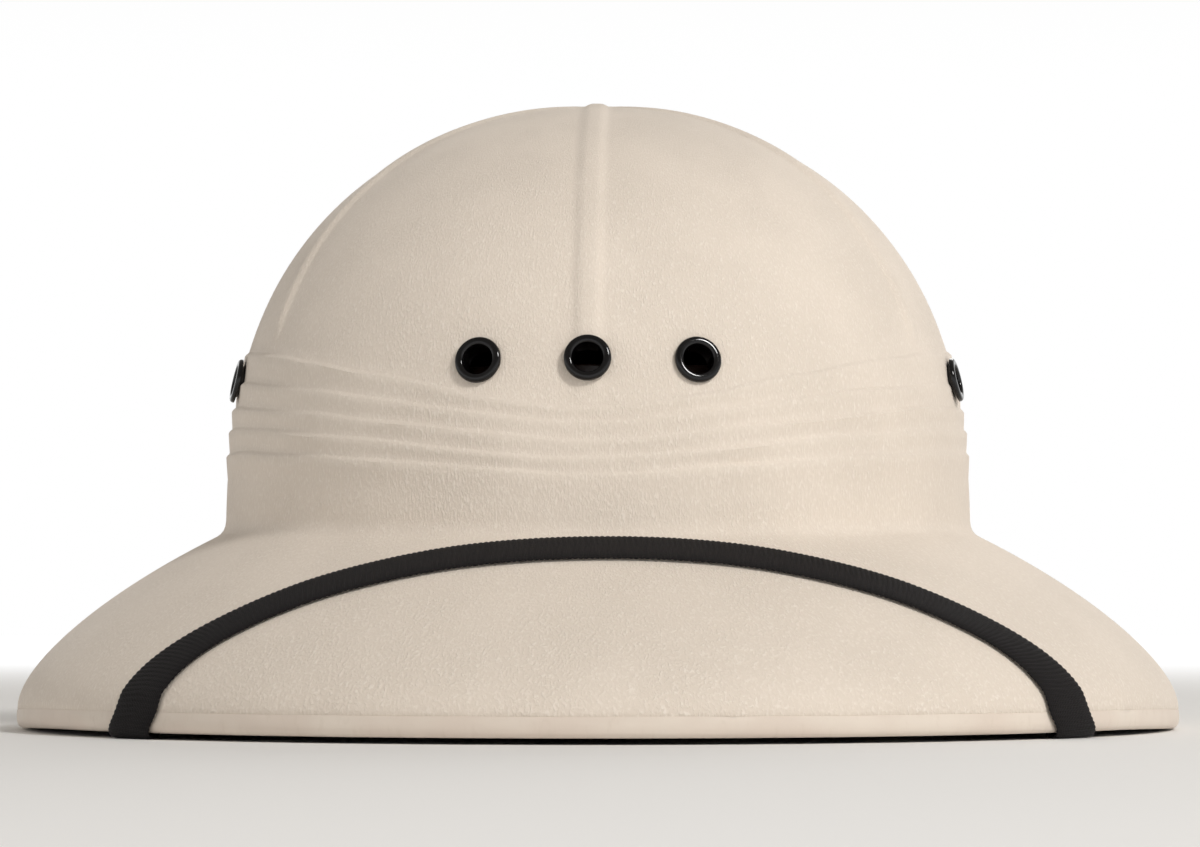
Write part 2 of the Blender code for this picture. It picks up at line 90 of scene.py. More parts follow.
FOLDS = (                       # height at the front, rise towards the sides; from the top
    (75.2 * MM, 21.0 * MM),
    (71.9 * MM, 15.5 * MM),
    (67.6 * MM, 13.5 * MM),
    (63.6 * MM, 12.0 * MM),
    (60.0 * MM, 9.5 * MM),
)
FOLD_HEIGHT = 0.7 * MM
FOLD_STEP = 0.6 * MM            # half height of the short face above each fold
FOLD_TAIL = 6.0 * MM
FOLD_SOFT = 0.12                # rounds the dip at the front and back
FOLD_FRONT = 0.45               # share of the relief that is left at the dip
FOLD_DEEPEN = 2.5               # how soon it is whole again towards the sides
FOLD_WANDER = 0.6 * MM          # no fold is quite straight, or equally deep all along
FOLD_UNEVEN = 0.6
FOLD_WAVE = 16.0 * MM

CORNER_UP = 3.0 * MM            # rounding between crown and brim: up, and out over the brim
CORNER_OUT = 0.045
INNER_CORNER_UP = 1.5 * MM      # the same inside
INNER_CORNER_OUT = 0.06
INNER_RIM_SHARE = 0.975         # the underside leaves the brim's form here, for the seat
INNER_RIM_HEIGHT = 6.2 * MM
WAVE_HEIGHT = 0.10 * MM         # unevenness that the press leaves
WAVE_LENGTH = 26.0 * MM

RIB_COLUMNS = 12                # columns across a rib
PANEL_COLUMNS = 27              # and between two ribs
CROWN_ROWS = 46
FOLD_ROWS = (0.3, 0.65, 1.0)    # shares of a fold's short face, and of the way to the next
WALL_ROWS = 6
CORNER_ROWS = (0.25, 0.5, 0.75)
BRIM_ROWS = 26
RIM_ROWS = (                    # inset from the rim, height
    (CLOTH_TUCK, SHOULDER_HEIGHT),
    (BINDING_SEAT, SHOULDER_HEIGHT),
    (BINDING_SEAT, BODY_FLOOR),
)
INNER_CROWN_ROWS = 30
TURN_STEP = 0.01                # slopes are measured over these steps: radians around,
CLIMB_STEP = 0.5 * MM           # height up the crown,
SHARE_STEP = 0.002              # and share of the brim
SHARP_ANGLE = 40.0 * DEG

HOLE_RADIUS = 4.35 * MM
PUNCH_LENGTH = 20.0 * MM
PUNCH_SIDES = 48
EYELETS = (                     # name, angle, height, how far the cloth stands out there
    ("eyelet_front_left", -14.6 * DEG, 86.3 * MM, 0.0),
    ("eyelet_front_centre", 0.0, 86.3 * MM, RIB_HEIGHT),
    ("eyelet_front_right", 14.6 * DEG, 86.3 * MM, 0.0),
    ("eyelet_side_left", -75.0 * DEG, 86.0 * MM, FOLD_HEIGHT),
    ("eyelet_side_right", 75.0 * DEG, 86.0 * MM, FOLD_HEIGHT),
)


def smooth_step(value):
    value = min(max(value, 0.0), 1.0)
    return value * value * (3.0 - 2.0 * value)


def signed_power(value, power):
    return math.copysign(abs(value) ** power, value)


def oval_point(oval, angle):
    end = "front" if math.cos(angle) > 0 else "back"
    power = 2.0 / oval["square_" + end]
    across = oval["half"] * signed_power(math.sin(angle), power)
    along = oval["centre"] - oval[end] * signed_power(math.cos(angle), power)
    return Vector((across, along, 0.0))


def oval_outward(oval, angle):
    run = oval_point(oval, angle + TURN_STEP) - oval_point(oval, angle - TURN_STEP)
    return Vector((run.y, -run.x, 0.0)).normalized()


def inset_point(oval, angle, inset, height):
    """A point this far inside an oval."""
    point = oval_point(oval, angle) - oval_outward(oval, angle) * inset
    point.z = height
    return point


def crown_scale(height):
    share = max(height - CROWN_FOOT, 0.0) / CROWN_RISE
    return max(1.0 - share ** RISE_POWER, 0.0) ** (1.0 / REACH_POWER)


def crown_point(angle, height):
    middle = Vector((0.0, CROWN_OVAL["centre"], 0.0))
    point = middle + (oval_point(CROWN_OVAL, angle) - middle) * crown_scale(height)
    point.z = height
    return point


def crown_normal(angle, height):
    around = crown_point(angle + TURN_STEP, height) - crown_point(angle - TURN_STEP, height)
    up = crown_point(angle, height + CLIMB_STEP) - crown_point(angle, height - CLIMB_STEP)
    return around.cross(up).normalized()


def rim_lift(angle):
    return FRONT_LIFT * smooth_step(math.cos(angle) / math.cos(LIFT_FULL))


def brim_point(angle, share):
    """A point of the brim's top: share 0 at the crown, 1 at the rim."""
    inner = oval_point(CROWN_OVAL, angle)
    outer = oval_point(EDGE_OVAL, angle)
    width = (outer - inner).length
    slope = SLOPE_BACK + (SLOPE_FRONT - SLOPE_BACK) * smooth_step(1.0 + math.cos(angle))
    root = ROOT_FRONT + (ROOT_SIDE - ROOT_FRONT) * math.sin(angle) ** 2
    edge = EDGE_HEIGHT + rim_lift(angle)
    turn = root - edge - slope * width
    point = inner.lerp(outer, share)
    point.z = edge + slope * width * (1.0 - share)
    point.z += turn * max(1.0 - share ** TURN_POWER, 0.0) ** (1.0 / TURN_POWER)
    return point


def brim_around(angle, share):
    return brim_point(angle + TURN_STEP, share) - brim_point(angle - TURN_STEP, share)


def brim_normal(angle, share):
    inner = brim_point(angle, max(share - SHARE_STEP, 0.0))
    outer = brim_point(angle, min(share + SHARE_STEP, 1.0))
    return brim_around(angle, share).cross(inner - outer).normalized()


def fold_noise(angle, row):
    """Noise around the crown, different for each row."""
    reach = CROWN_OVAL["half"] / FOLD_WAVE
    return noise.noise(Vector((reach * math.sin(angle), reach * math.cos(angle), row)))


def fold_line(fold, angle):
    front, rise = fold
    bowed = front + rise * (math.sqrt(math.sin(angle) ** 2 + FOLD_SOFT ** 2) - FOLD_SOFT)
    return bowed + FOLD_WANDER * fold_noise(angle, front / MM)


def fold_top(fold, angle):
    return fold_line(fold, angle) + FOLD_STEP


def fold_foot(place, angle):
    if place + 1 < len(FOLDS):
        return fold_top(FOLDS[place + 1], angle)
    return fold_line(FOLDS[place], angle) - FOLD_TAIL


def dome_foot(angle):
    return fold_top(FOLDS[0], angle)


def fold_relief(angle, height):
    """How far the folds stand out: up a short face that looks upwards, then a long way back."""
    for place, fold in enumerate(FOLDS):
        top = fold_top(fold, angle)
        foot = fold_foot(place, angle)
        if foot < height <= top:
            below = top - height
            face = smooth_step(0.5 * below / FOLD_STEP)
            fall = max(below - 2.0 * FOLD_STEP, 0.0) / (top - foot - 2.0 * FOLD_STEP)
            aside = smooth_step(FOLD_DEEPEN * abs(math.sin(angle)))
            depth = FOLD_FRONT + (1.0 - FOLD_FRONT) * aside
            depth *= 1.0 + FOLD_UNEVEN * fold_noise(angle, place + 0.5)
            return FOLD_HEIGHT * depth * face * (1.0 - fall)
    return 0.0


def rib_relief(angle, height):
    """The ribs keep their width, so towards the apex they run together."""
    off = (angle + 0.5 * RIB_PITCH) % RIB_PITCH - 0.5 * RIB_PITCH
    middle = Vector((0.0, CROWN_OVAL["centre"]))
    out = (crown_point(angle, height).xy - middle).length
    valley = 1.0 - smooth_step((RIB_FOOT - out * abs(math.sin(off))) / (RIB_FOOT - RIB_CREST))
    valley *= smooth_step(2.0 * out / RIB_HUB - 1.0)
    return RIB_HEIGHT * (1.0 - valley) * smooth_step((height - dome_foot(angle)) / RIB_FADE)


def waved(point, outward):
    return point + outward * (WAVE_HEIGHT * noise.noise(point / WAVE_LENGTH))


def cloth_point(angle, height):
    outward = crown_normal(angle, height)
    relief = rib_relief(angle, height) + fold_relief(angle, height)
    return waved(crown_point(angle, height) + outward * relief, outward)


def body_columns():
    """Columns around the body: (rib, place across it, share of the panel after it)."""
    columns = []
    for rib in range(RIB_COUNT):
        for step in range(RIB_COLUMNS + 1):
            columns.append((rib, 2.0 * step / RIB_COLUMNS - 1.0, 0.0))
        for step in range(1, PANEL_COLUMNS + 1):
            columns.append((rib, 1.0, step / (PANEL_COLUMNS + 1)))
    return columns


def column_angle(column, scale=1.0):
    rib, across, share = column
    foot = min(RIB_FOOT / (CROWN_OVAL["half"] * scale), RIB_WIDEST)
    return rib * RIB_PITCH + across * foot + share * (RIB_PITCH - 2.0 * foot)


def curved(first, corner, last, share):
    return first.lerp(corner, share).lerp(corner.lerp(last, share), share)


def eased(place, start, power):
    """From start to 1 as place goes from 0 to 1, in steps that suit a curve of this power."""
    low = math.asin(start ** (0.5 * power))
    return math.sin(low + (0.5 * math.pi - low) * place) ** (2.0 / power)


def dome_row(columns, foot, place, surface):
    """A row around the dome: place 0 at its foot, which isn't level, and 1 at the apex."""
    row = []
    for column in columns:
        start = (foot(column_angle(column)) - CROWN_FOOT) / CROWN_RISE
        height = CROWN_FOOT + CROWN_RISE * eased(place, start, RISE_POWER)
        row.append(surface(column_angle(column, crown_scale(height)), height))
    return row


def wall_levels(angle):
    """Heights down the wall: each fold's top and crest, the last one's foot, the wall's."""
    levels = []
    for fold in FOLDS:
        levels += [fold_top(fold, angle), fold_top(fold, angle) - 2.0 * FOLD_STEP]
    return levels + [fold_foot(len(FOLDS) - 1, angle), brim_point(angle, 0.0).z + CORNER_UP]


def outer_corner(angle, share):
    corner = brim_point(angle, 0.0)
    start = cloth_point(angle, corner.z + CORNER_UP)
    return curved(start, corner, brim_point(angle, CORNER_OUT), share)


def rim_point(angle, inset, height):
    return inset_point(EDGE_OVAL, angle, inset, height + rim_lift(angle))


def outer_rows(columns):
    """Rows of points from under the apex, down the crown and out to the foot of the rim."""
    rows = [dome_row(columns, dome_foot, 1.0 - ring / (CROWN_ROWS + 1.0), cloth_point)
            for ring in range(1, CROWN_ROWS + 1)]
    angles = [column_angle(column) for column in columns]
    levels = [wall_levels(angle) for angle in angles]
    rows.append([cloth_point(angle, heights[0]) for angle, heights in zip(angles, levels)])
    even = [ring / WALL_ROWS for ring in range(1, WALL_ROWS + 1)]
    for place, shares in enumerate([FOLD_ROWS] * (2 * len(FOLDS)) + [even]):
        for share in shares:
            row = []
            for angle, heights in zip(angles, levels):
                drop = heights[place + 1] - heights[place]
                row.append(cloth_point(angle, heights[place] + share * drop))
            rows.append(row)
    rows += [[outer_corner(angle, share) for angle in angles] for share in CORNER_ROWS]
    for ring in range(BRIM_ROWS + 1):
        share = eased(ring / BRIM_ROWS, CORNER_OUT, TURN_POWER)
        rows.append([waved(brim_point(angle, share), brim_normal(angle, share) * (1.0 - share))
                     for angle in angles])
    return rows + [[rim_point(angle, *place) for angle in angles] for place in RIM_ROWS]


def inner_brim(angle, share):
    return brim_point(angle, share) - brim_normal(angle, share) * WALL


def inner_crown(angle, height):
    return crown_point(angle, height) - crown_normal(angle, height) * WALL


def inner_foot(angle):
    return brim_point(angle, 0.0).z - WALL + INNER_CORNER_UP


def inner_corner(angle, share):
    corner = inner_crown(angle, brim_point(angle, 0.0).z - WALL)
    top = inner_crown(angle, inner_foot(angle))
    return curved(inner_brim(angle, INNER_CORNER_OUT), corner, top, share)


def inner_rows(columns):
    """Rows from the foot of the rim in under the brim, and up to the apex; and how many
    of them lie under the brim."""
    angles = [column_angle(column) for column in columns]
    rows = [[rim_point(angle, BINDING_SEAT + WALL, height) for angle in angles]
            for height in (BODY_FLOOR, INNER_RIM_HEIGHT)]
    for ring in range(BRIM_ROWS + 1):
        share = eased(1.0 - ring / BRIM_ROWS, INNER_CORNER_OUT, TURN_POWER)
        if share < INNER_RIM_SHARE:
            rows.append([inner_brim(angle, share) for angle in angles])
    rows += [[inner_corner(angle, share) for angle in angles] for share in CORNER_ROWS]
    under = len(rows)
    rows += [dome_row(columns, inner_foot, ring / (INNER_CROWN_ROWS + 1.0), inner_crown)
             for ring in range(INNER_CROWN_ROWS + 1)]
    return rows, under


def loft(rows, closed=False, ends=False, poles=(None, None)):
    """Joins rows of points, each a closed loop, with quads. The first and last are joined
    to each other, or closed by a face or by a pole."""
    form = bmesh.new()
    loops = [[form.verts.new(point) for point in row] for row in rows]
    pairs = list(zip(loops, loops[1:]))
    if closed:
        pairs.append((loops[-1], loops[0]))
    size = len(rows[0])
    for upper, lower in pairs:
        for place in range(size):
            after = (place + 1) % size
            form.faces.new((upper[place], lower[place], lower[after], upper[after]))
    for pole, loop in zip(poles, (loops[0], loops[-1])):
        if ends:
            form.faces.new(loop)
        if pole is not None:
            top = form.verts.new(pole)
            for place in range(size):
                form.faces.new((top, loop[place], loop[(place + 1) % size]))
    bmesh.ops.recalc_face_normals(form, faces=form.faces)
    return form


def as_object(name, data):
    item = bpy.data.objects.new(name, data)
    bpy.context.scene.collection.objects.link(item)
    return item


def formed(name, form, *materials):
    mesh = bpy.data.meshes.new(name)
    form.to_mesh(mesh)
    form.free()
    for material in materials:
        mesh.materials.append(material)
    mesh.shade_smooth()
    return as_object(name, mesh)


def evaluated_mesh(item):
    """The plain mesh of an object with its modifiers; the object itself is removed."""
    graph = bpy.context.evaluated_depsgraph_get()
    mesh = bpy.data.meshes.new_from_object(item.evaluated_get(graph))
    bpy.data.objects.remove(item)
    return mesh


class Field:
    """A socket of a node tree. Python's operators on it add the tree's Math nodes."""

    def __init__(self, tree, socket=None):
        self.tree = tree
        self.socket = socket

    def node(self, kind, settings, inputs, output=0):
        """Adds a node: its settings first, then the values or links of its sockets."""
        made = self.tree.nodes.new(kind)
        for name, value in settings.items():
            setattr(made, name, value)
        for place, value in inputs.items():
            if isinstance(value, Field):
                self.tree.links.new(value.socket, made.inputs[place])
            else:
                made.inputs[place].default_value = value
        return Field(self.tree, made.outputs[output])

    def math(self, operation, *values):
        return self.node("ShaderNodeMath", {"operation": operation}, dict(enumerate(values)))

    def vector(self, operation, *values, output=0):
        return self.node("ShaderNodeVectorMath", {"operation": operation},
                         dict(enumerate(values)), output)

    def between(self, low, high):
        """Rises smoothly from 0 at low to 1 at high."""
        return self.node("ShaderNodeMapRange", {"interpolation_type": "SMOOTHSTEP"},
                         {0: self, 1: low, 2: high})

    def mix(self, first, second):
        """The first colour where this is 0, the second where it is 1."""
        return self.node("ShaderNodeMix", {"data_type": "RGBA"},
                         {0: self, 6: first, 7: second}, 2)

    def grain(self, size, detail, **more):
        """Noise with features of this size, where this is a place."""
        inputs = {"Vector": self, "Scale": 1.0 / size, "Detail": detail}
        return self.node("ShaderNodeTexNoise", {}, {**inputs, **more})

    def height(self):
        """The Z of a place."""
        return self.node("ShaderNodeSeparateXYZ", {}, {0: self}, 2)

    def named(self, name, kind="FLOAT"):
        """An attribute of the mesh that a Geometry Nodes tree stands on."""
        return self.node("GeometryNodeInputNamedAttribute", {"data_type": kind}, {"Name": name})

    def scaled(self, factor):
        """A vector times a number."""
        return self.node("ShaderNodeVectorMath", {"operation": "SCALE"}, {0: self, "Scale": factor})

    def __add__(self, other):
        return self.math("ADD", self, other)

    def __sub__(self, other):
        return self.math("SUBTRACT", self, other)

    def __rsub__(self, other):
        return self.math("SUBTRACT", other, self)

    def __mul__(self, other):
        return self.math("MULTIPLY", self, other)

    def __truediv__(self, other):
        return self.math("DIVIDE", self, other)

    __radd__ = __add__
    __rmul__ = __mul__


class Finish:
    """A material in the making: its shader's fixed values, then what varies over the piece."""

    def __init__(self, name, fixed):
        self.material = bpy.data.materials.new(name)
        self.material.use_nodes = True
        self.tree = self.material.node_tree
        self.shader = self.tree.nodes["Principled BSDF"]
        for label, value in fixed.items():
            self.shader.inputs[label].default_value = value
        self.place = Field(self.tree).node("ShaderNodeTexCoord", {}, {}, "Object")

    def drive(self, label, field):
        self.tree.links.new(field.socket, self.shader.inputs[label])

    def relief(self, height, depth):
        """Bump of this depth where height goes from 0 to 1."""
        bump = height.node("ShaderNodeBump", {}, {"Height": height, "Distance": depth})
        self.drive("Normal", bump)

    def attribute(self, name):
        return Field(self.tree).node("ShaderNodeAttribute", {"attribute_name": name}, {}, 2)

    def painted(self, colour, roughness):
        """Drives the colour and the roughness, and gives the material."""
        self.drive("Base Color", colour)
        self.drive("Roughness", roughness)
        return self.material


def paint(red, green, blue):
    """A colour as a screen shows it, 0 to 255, in the linear values that shaders take."""
    shares = [value / 255.0 for value in (red, green, blue)]
    return (*[share / 12.92 if share < 0.04045 else ((share + 0.055) / 1.055) ** 2.4
              for share in shares], 1.0)


CREAM = paint(228, 216, 202)
# Painted shade for the hollows of the cloth's wrinkles.
CREAM_CREASE_SHADE = paint(214, 200, 184)
CREAM_PALE = paint(231, 219, 205)
# Painted highlight for the crests of the wrinkles.
CREAM_PAINTED_HIGHLIGHT = paint(243, 234, 222)
TAN = paint(176, 156, 131)
TAN_DEEP = paint(169, 149, 123)
# Painted shade under the brim, darkening towards the opening.
BROWN_PAINTED_SHADE = paint(84, 60, 41)
BLACK_PAINTED_SHADE = paint(17, 13, 11)
BROWN_COAT = paint(52, 35, 28)
BROWN_COAT_DEEP = paint(38, 25, 20)
WEAVE_WIDTH = 0.24 * MM
CREPE_WIDTH = 0.42 * MM         # width of the crepe's small wrinkles
CREPE_STRETCH = 0.34            # they are longer than wide, down the hat
CREPE_DEPTH = 0.16 * MM
CREPE_CURL = 0.4
APEX_SPREAD = 1.3               # near the apex the crepe is drawn out this much,
APEX_BLEND = 0.4                # and this soft is the change to the even crepe lower down
BROWN_SHADE_REACH = (1.115, 1.035)    # where the painted shade begins and is full; the crown's oval is 1
BLACK_SHADE_REACH = (1.075, 1.02)


def down_the_hat(finish):
    """Places on a cloth wrapped round the hat: its wrinkles run from the apex to the rim."""
    place = finish.place
    flat = place.vector("MULTIPLY", place, (1.0, 1.0, 0.0))
    flat = place.vector("ADD", flat, (0.0, -CROWN_OVAL["centre"], 0.0))
    out = place.vector("LENGTH", flat, output=1)
    half = CROWN_OVAL["half"]
    # Towards the apex the circle shrinks, and the wrinkles lose their direction.
    circle = place.math("SMOOTH_MIN", out * APEX_SPREAD, half, APEX_BLEND * half)
    around = place.vector("NORMALIZE", flat).scaled(circle)
    climb = place.node("ShaderNodeCombineXYZ", {}, {2: (place.height() - out) * CREPE_STRETCH})
    return place.vector("ADD", around, climb)


def crepe_cloth():
    finish = Finish("cover_cloth", {"Sheen Weight": 0.12, "Sheen Roughness": 0.5})
    wrapped = down_the_hat(finish)
    wrinkles = wrapped.grain(CREPE_WIDTH, 2.0, Distortion=CREPE_CURL)
    creases = wrapped.grain(2.6 * CREPE_WIDTH, 1.0, Distortion=CREPE_CURL)
    weave = finish.place.grain(WEAVE_WIDTH, 1.0)
    patches = finish.place.grain(24.0 * MM, 3.0)
    # The crepe is livelier in some places than in others.
    lively = patches.between(0.3, 0.7) * 0.5 + 0.6
    raised = wrinkles.between(0.38, 0.66)
    crests = wrinkles.between(0.6, 0.68) * lively
    height = (raised * 0.5 + creases * 0.14 + crests * 0.1) * lively + weave * 0.16
    finish.relief(height, CREPE_DEPTH)
    tone = patches.between(0.3, 0.7).mix(CREAM_PALE, CREAM)
    # Painted shade: the low places between the wrinkles are darker.
    tone = ((1.0 - raised) * 0.3).mix(tone, CREAM_CREASE_SHADE)
    # Painted highlight: the highest crests of the wrinkles are paler.
    return finish.painted((crests * 0.45).mix(tone, CREAM_PAINTED_HIGHLIGHT), weave * 0.12 + 0.76)


def brim_lining():
    """Smooth tan cloth with painted shade: brown and then black towards the opening, where it
    curves up into the crown.
    """
    finish = Finish("brim_lining", {"Specular IOR Level": 0.12})
    place = finish.place
    weave = place.grain(0.3 * MM, 1.0)
    clouds = place.grain(34.0 * MM, 3.0)
    finish.relief(weave * 0.5 + place.grain(3.0 * MM, 2.0) * 0.5, 0.04 * MM)
    scaled = place.vector("ADD", place, (0.0, -CROWN_OVAL["centre"], 0.0))
    scaled = place.vector("MULTIPLY", scaled,
                          (1.0 / CROWN_OVAL["half"], 1.0 / CROWN_OVAL["front"], 0.0))
    reach = place.vector("LENGTH", scaled, output=1) + clouds * 0.012
    cloth = clouds.between(0.3, 0.7).mix(TAN, TAN_DEEP)
    # Painted shade: the cloth turns brown, then black, towards the opening.
    brown = reach.between(*BROWN_SHADE_REACH).mix(cloth, BROWN_PAINTED_SHADE)
    return finish.painted(reach.between(*BLACK_SHADE_REACH).mix(brown, BLACK_PAINTED_SHADE), weave * 0.1 + 0.6)


def crown_coat():
    """Brown paint over pressed fibre: half gloss, with the fibre showing through."""
    finish = Finish("crown_coat", {"Specular IOR Level": 0.35, "Coat Weight": 0.08,
                                   "Coat Roughness": 0.3})
    fibre = finish.place.grain(1.6 * MM, 4.0, Distortion=0.8)
    clouds = finish.place.grain(18.0 * MM, 2.0)
    finish.relief(fibre * 0.8 + clouds * 0.2, 0.12 * MM)
    return finish.painted(clouds.between(0.35, 0.65).mix(BROWN_COAT, BROWN_COAT_DEEP),
                          fibre * 0.25 + 0.3)


def cut_holes(body):
    """The five vent holes, punched square to the crown."""
    cutters = []
    for name, angle, height, proud in EYELETS:
        bpy.ops.mesh.primitive_cylinder_add(vertices=PUNCH_SIDES, radius=HOLE_RADIUS,
                                            depth=PUNCH_LENGTH)
        cutter = bpy.context.object
        cutter.matrix_world = eyelet_place(angle, height, proud)
        cut = body.modifiers.new(name, "BOOLEAN")
        cut.operation = "DIFFERENCE"
        cut.object = cutter
        cutters.append(cutter)
    mesh = evaluated_mesh(body)
    for cutter in cutters:
        bpy.data.objects.remove(cutter)
    return mesh


def eyelet_place(angle, height, proud):
    """The eyelet's axis is local Z, pointing out of the crown, from the cloth's face."""
    outward = crown_normal(angle, height)
    point = crown_point(angle, height) + outward * proud
    turn = Vector((0.0, 0.0, 1.0)).rotation_difference(outward)
    return Matrix.Translation(point) @ turn.to_matrix().to_4x4()


def make_body():
    columns = body_columns()
    outer = outer_rows(columns)
    inner, under = inner_rows(columns)
    top = Vector((0.0, CROWN_OVAL["centre"], CROWN_FOOT + CROWN_RISE))
    up = Vector((0.0, 0.0, 1.0))
    form = loft(outer + inner, poles=(top + up * RIB_HEIGHT, top - up * WALL))
    form.faces.ensure_lookup_table()
    size = len(columns)
    lining = range((len(outer) - 1) * size, (len(outer) + under) * size)
    coat = range(lining.stop, (len(outer) + len(inner) - 1) * size)
    for faces, material in ((lining, 1), (coat, 2)):
        for place in faces:
            form.faces[place].material_index = material
    for face in form.faces[-size:]:
        face.material_index = 2
    body = formed("pressed_body", form, crepe_cloth(), brim_lining(), crown_coat())
    mesh = cut_holes(body)
    mesh.set_sharp_from_angle(angle=SHARP_ANGLE)
    body = as_object("pressed_body", mesh)
    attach(body, "root")
    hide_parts("shell")


make_body()

# --- rim binding -------------------------------------------------------------------
# A bias-cut strip of the cover cloth, folded round the rim and glued: its raw edge shows
# as a fine line on the outside, and inside it ends in a rounded lip.
CREAM_PINK = paint(223, 209, 195)
BINDING_TOP = 4.42 * MM
BINDING_CREST = 4.66 * MM       # its raw edge stands up outside the cover's turned edge
BINDING_FRAY = 0.07 * MM        # and isn't quite even
FRAY_WAVE = 10.0 * MM
BINDING_BULGE = 0.2 * MM        # the fold is a soft roll
BINDING_LIP = 4.4 * MM
BINDING_SKIN = 0.95 * MM
BINDING_BED = 1.05 * MM         # the inside of the fold, under the body's foot
BINDING_FULL = 4.8 * MM         # over both skins, the wall and the glue
BINDING_INNER = BINDING_FULL - BINDING_SKIN
BINDING_PROFILE = (             # inset from the rim, height, radius of the corner
    (-0.04 * MM, BINDING_CREST, 0.05 * MM),
    (0.07 * MM, BINDING_CREST, 0.04 * MM),
    (0.21 * MM, BINDING_TOP, 0.05 * MM),
    (BINDING_SKIN, BINDING_TOP, 0.1 * MM),
    (BINDING_SKIN, BINDING_BED, 0.2 * MM),
    (BINDING_INNER, BINDING_BED, 0.2 * MM),
    (BINDING_INNER, BINDING_LIP, 0.3 * MM),
    (BINDING_FULL, BINDING_LIP, 0.45 * MM),
    (BINDING_FULL, 0.0, 1.9 * MM),
    (0.15 * MM, 0.0, 2.0 * MM),
    (-BINDING_BULGE, 2.8 * MM, 0.7 * MM),
)
CORNER_STEPS = 5
RIM_STEPS = 360
MERGE_DISTANCE = 0.001 * MM


def even_turns(count):
    """Angles of even steps around a circle."""
    return [2.0 * math.pi * step / count for step in range(count)]


def rounded_profile(corners):
    """Points of a closed outline whose corners have these radii."""
    points = [Vector((across, up)) for across, up, _ in corners]
    outline = []
    for place, (_, _, radius) in enumerate(corners):
        corner = points[place]
        before = (points[place - 1] - corner).normalized() * radius
        after = (points[(place + 1) % len(points)] - corner).normalized() * radius
        for step in range(CORNER_STEPS + 1):
            outline.append(curved(corner + before, corner, corner + after, step / CORNER_STEPS))
    return outline


def ring_of(name, points):
    """A closed line of points, for a tree to sweep along or to sweep."""
    mesh = bpy.data.meshes.new(name)
    size = len(points)
    mesh.from_pydata(points, [(place, (place + 1) % size) for place in range(size)], [])
    return as_object(name, mesh)


def new_tree(name, *inputs):
    """A Geometry Nodes tree with named inputs; gives the tree and its inputs by name."""
    tree = bpy.data.node_groups.new(name, "GeometryNodeTree")
    tree.interface.new_socket("Geometry", in_out="OUTPUT", socket_type="NodeSocketGeometry")
    tree.interface.new_socket("Geometry", in_out="INPUT", socket_type="NodeSocketGeometry")
    for label, kind in inputs:
        tree.interface.new_socket(label, in_out="INPUT", socket_type="NodeSocket" + kind)
    source = tree.nodes.new("NodeGroupInput")
    return tree, {socket.name: Field(tree, socket) for socket in source.outputs if socket.name}


def end_tree(tree, shape, material):
    """Realizes what the tree made, gives it its material and hands it out."""
    real = shape.node("GeometryNodeRealizeInstances", {}, {0: shape})
    smooth = shape.node("GeometryNodeSetShadeSmooth", {}, {0: real})
    done = shape.node("GeometryNodeSetMaterial", {}, {0: smooth, 2: material})
    tree.links.new(done.socket, tree.nodes.new("NodeGroupOutput").inputs[0])


def grown(item, tree, **values):
    """The plain mesh that a tree grows from an object; the object is used up."""
    modifier = item.modifiers.new(tree.name, "NODES")
    modifier.node_group = tree
    for socket in tree.interface.items_tree:
        if socket.in_out == "INPUT" and socket.name in values:
            modifier[socket.identifier] = values[socket.name]
    return evaluated_mesh(item)


def outward_mesh(mesh):
    """Turns the faces of a closed mesh to point out."""
    form = bmesh.new()
    form.from_mesh(mesh)
    bmesh.ops.remove_doubles(form, verts=form.verts, dist=MERGE_DISTANCE)
    bmesh.ops.recalc_face_normals(form, faces=form.faces)
    form.to_mesh(mesh)
    form.free()
    return mesh


def sweep_tree():
    """Sweeps the profile, its Y downwards, along the line that the modifier stands on."""
    tree, given = new_tree("swept_edge", ("Profile", "Object"), ("Finish", "Material"))
    path = given["Geometry"]
    line = path.node("GeometryNodeMeshToCurve", {}, {0: path})
    upright = path.node("GeometryNodeSetCurveNormal", {"mode": "Z_UP"}, {0: line})
    outline = path.node("GeometryNodeObjectInfo", {}, {0: given["Profile"]}, "Geometry")
    outline = path.node("GeometryNodeMeshToCurve", {}, {0: outline})
    swept = path.node("GeometryNodeCurveToMesh", {}, {0: upright, 1: outline})
    end_tree(tree, swept, given["Finish"])
    return tree


SWEPT_EDGE = sweep_tree()


def swept_ring(name, outline, line, material):
    """The plain mesh of an outline swept along a closed line around the hat."""
    profile = ring_of(name + "_outline", outline)
    swept = grown(ring_of(name + "_line", line), SWEPT_EDGE, Profile=profile, Finish=material)
    bpy.data.objects.remove(profile)
    return outward_mesh(swept)


def binding_cloth():
    """The cover's cloth on the bias, pulled smooth, a touch pinker where it is handled."""
    finish = Finish("binding_cloth", {"Sheen Weight": 0.12})
    pulled = down_the_hat(finish).grain(1.1 * MM, 2.0, Distortion=0.3)
    weave = finish.place.grain(0.25 * MM, 1.0)
    patches = finish.place.grain(16.0 * MM, 2.0)
    finish.relief(pulled * 0.35 + weave * 0.3 + patches * 0.35, 0.08 * MM)
    tone = patches.between(0.35, 0.65).mix(CREAM, CREAM_PINK)
    # Painted shade: the dips of the pulled wrinkles are darker.
    return finish.painted((pulled.between(0.45, 0.2) * 0.4).mix(tone, CREAM_CREASE_SHADE),
                          weave * 0.15 + 0.66)


def make_binding():
    outline = [(-inset, -height, 0.0) for inset, height in rounded_profile(BINDING_PROFILE)]
    line = [rim_point(angle, 0.0, 0.0) for angle in even_turns(RIM_STEPS)]
    mesh = swept_ring("rim", outline, line, binding_cloth())
    for vertex in mesh.vertices:
        # The raw edge and the lip are what faces up.
        if vertex.normal.z > 0.5:
            vertex.co.z += BINDING_FRAY * noise.noise(vertex.co / FRAY_WAVE)
    binding = as_object("folded_binding", mesh)
    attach(binding, "root")
    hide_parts("rim_binding")


make_binding()

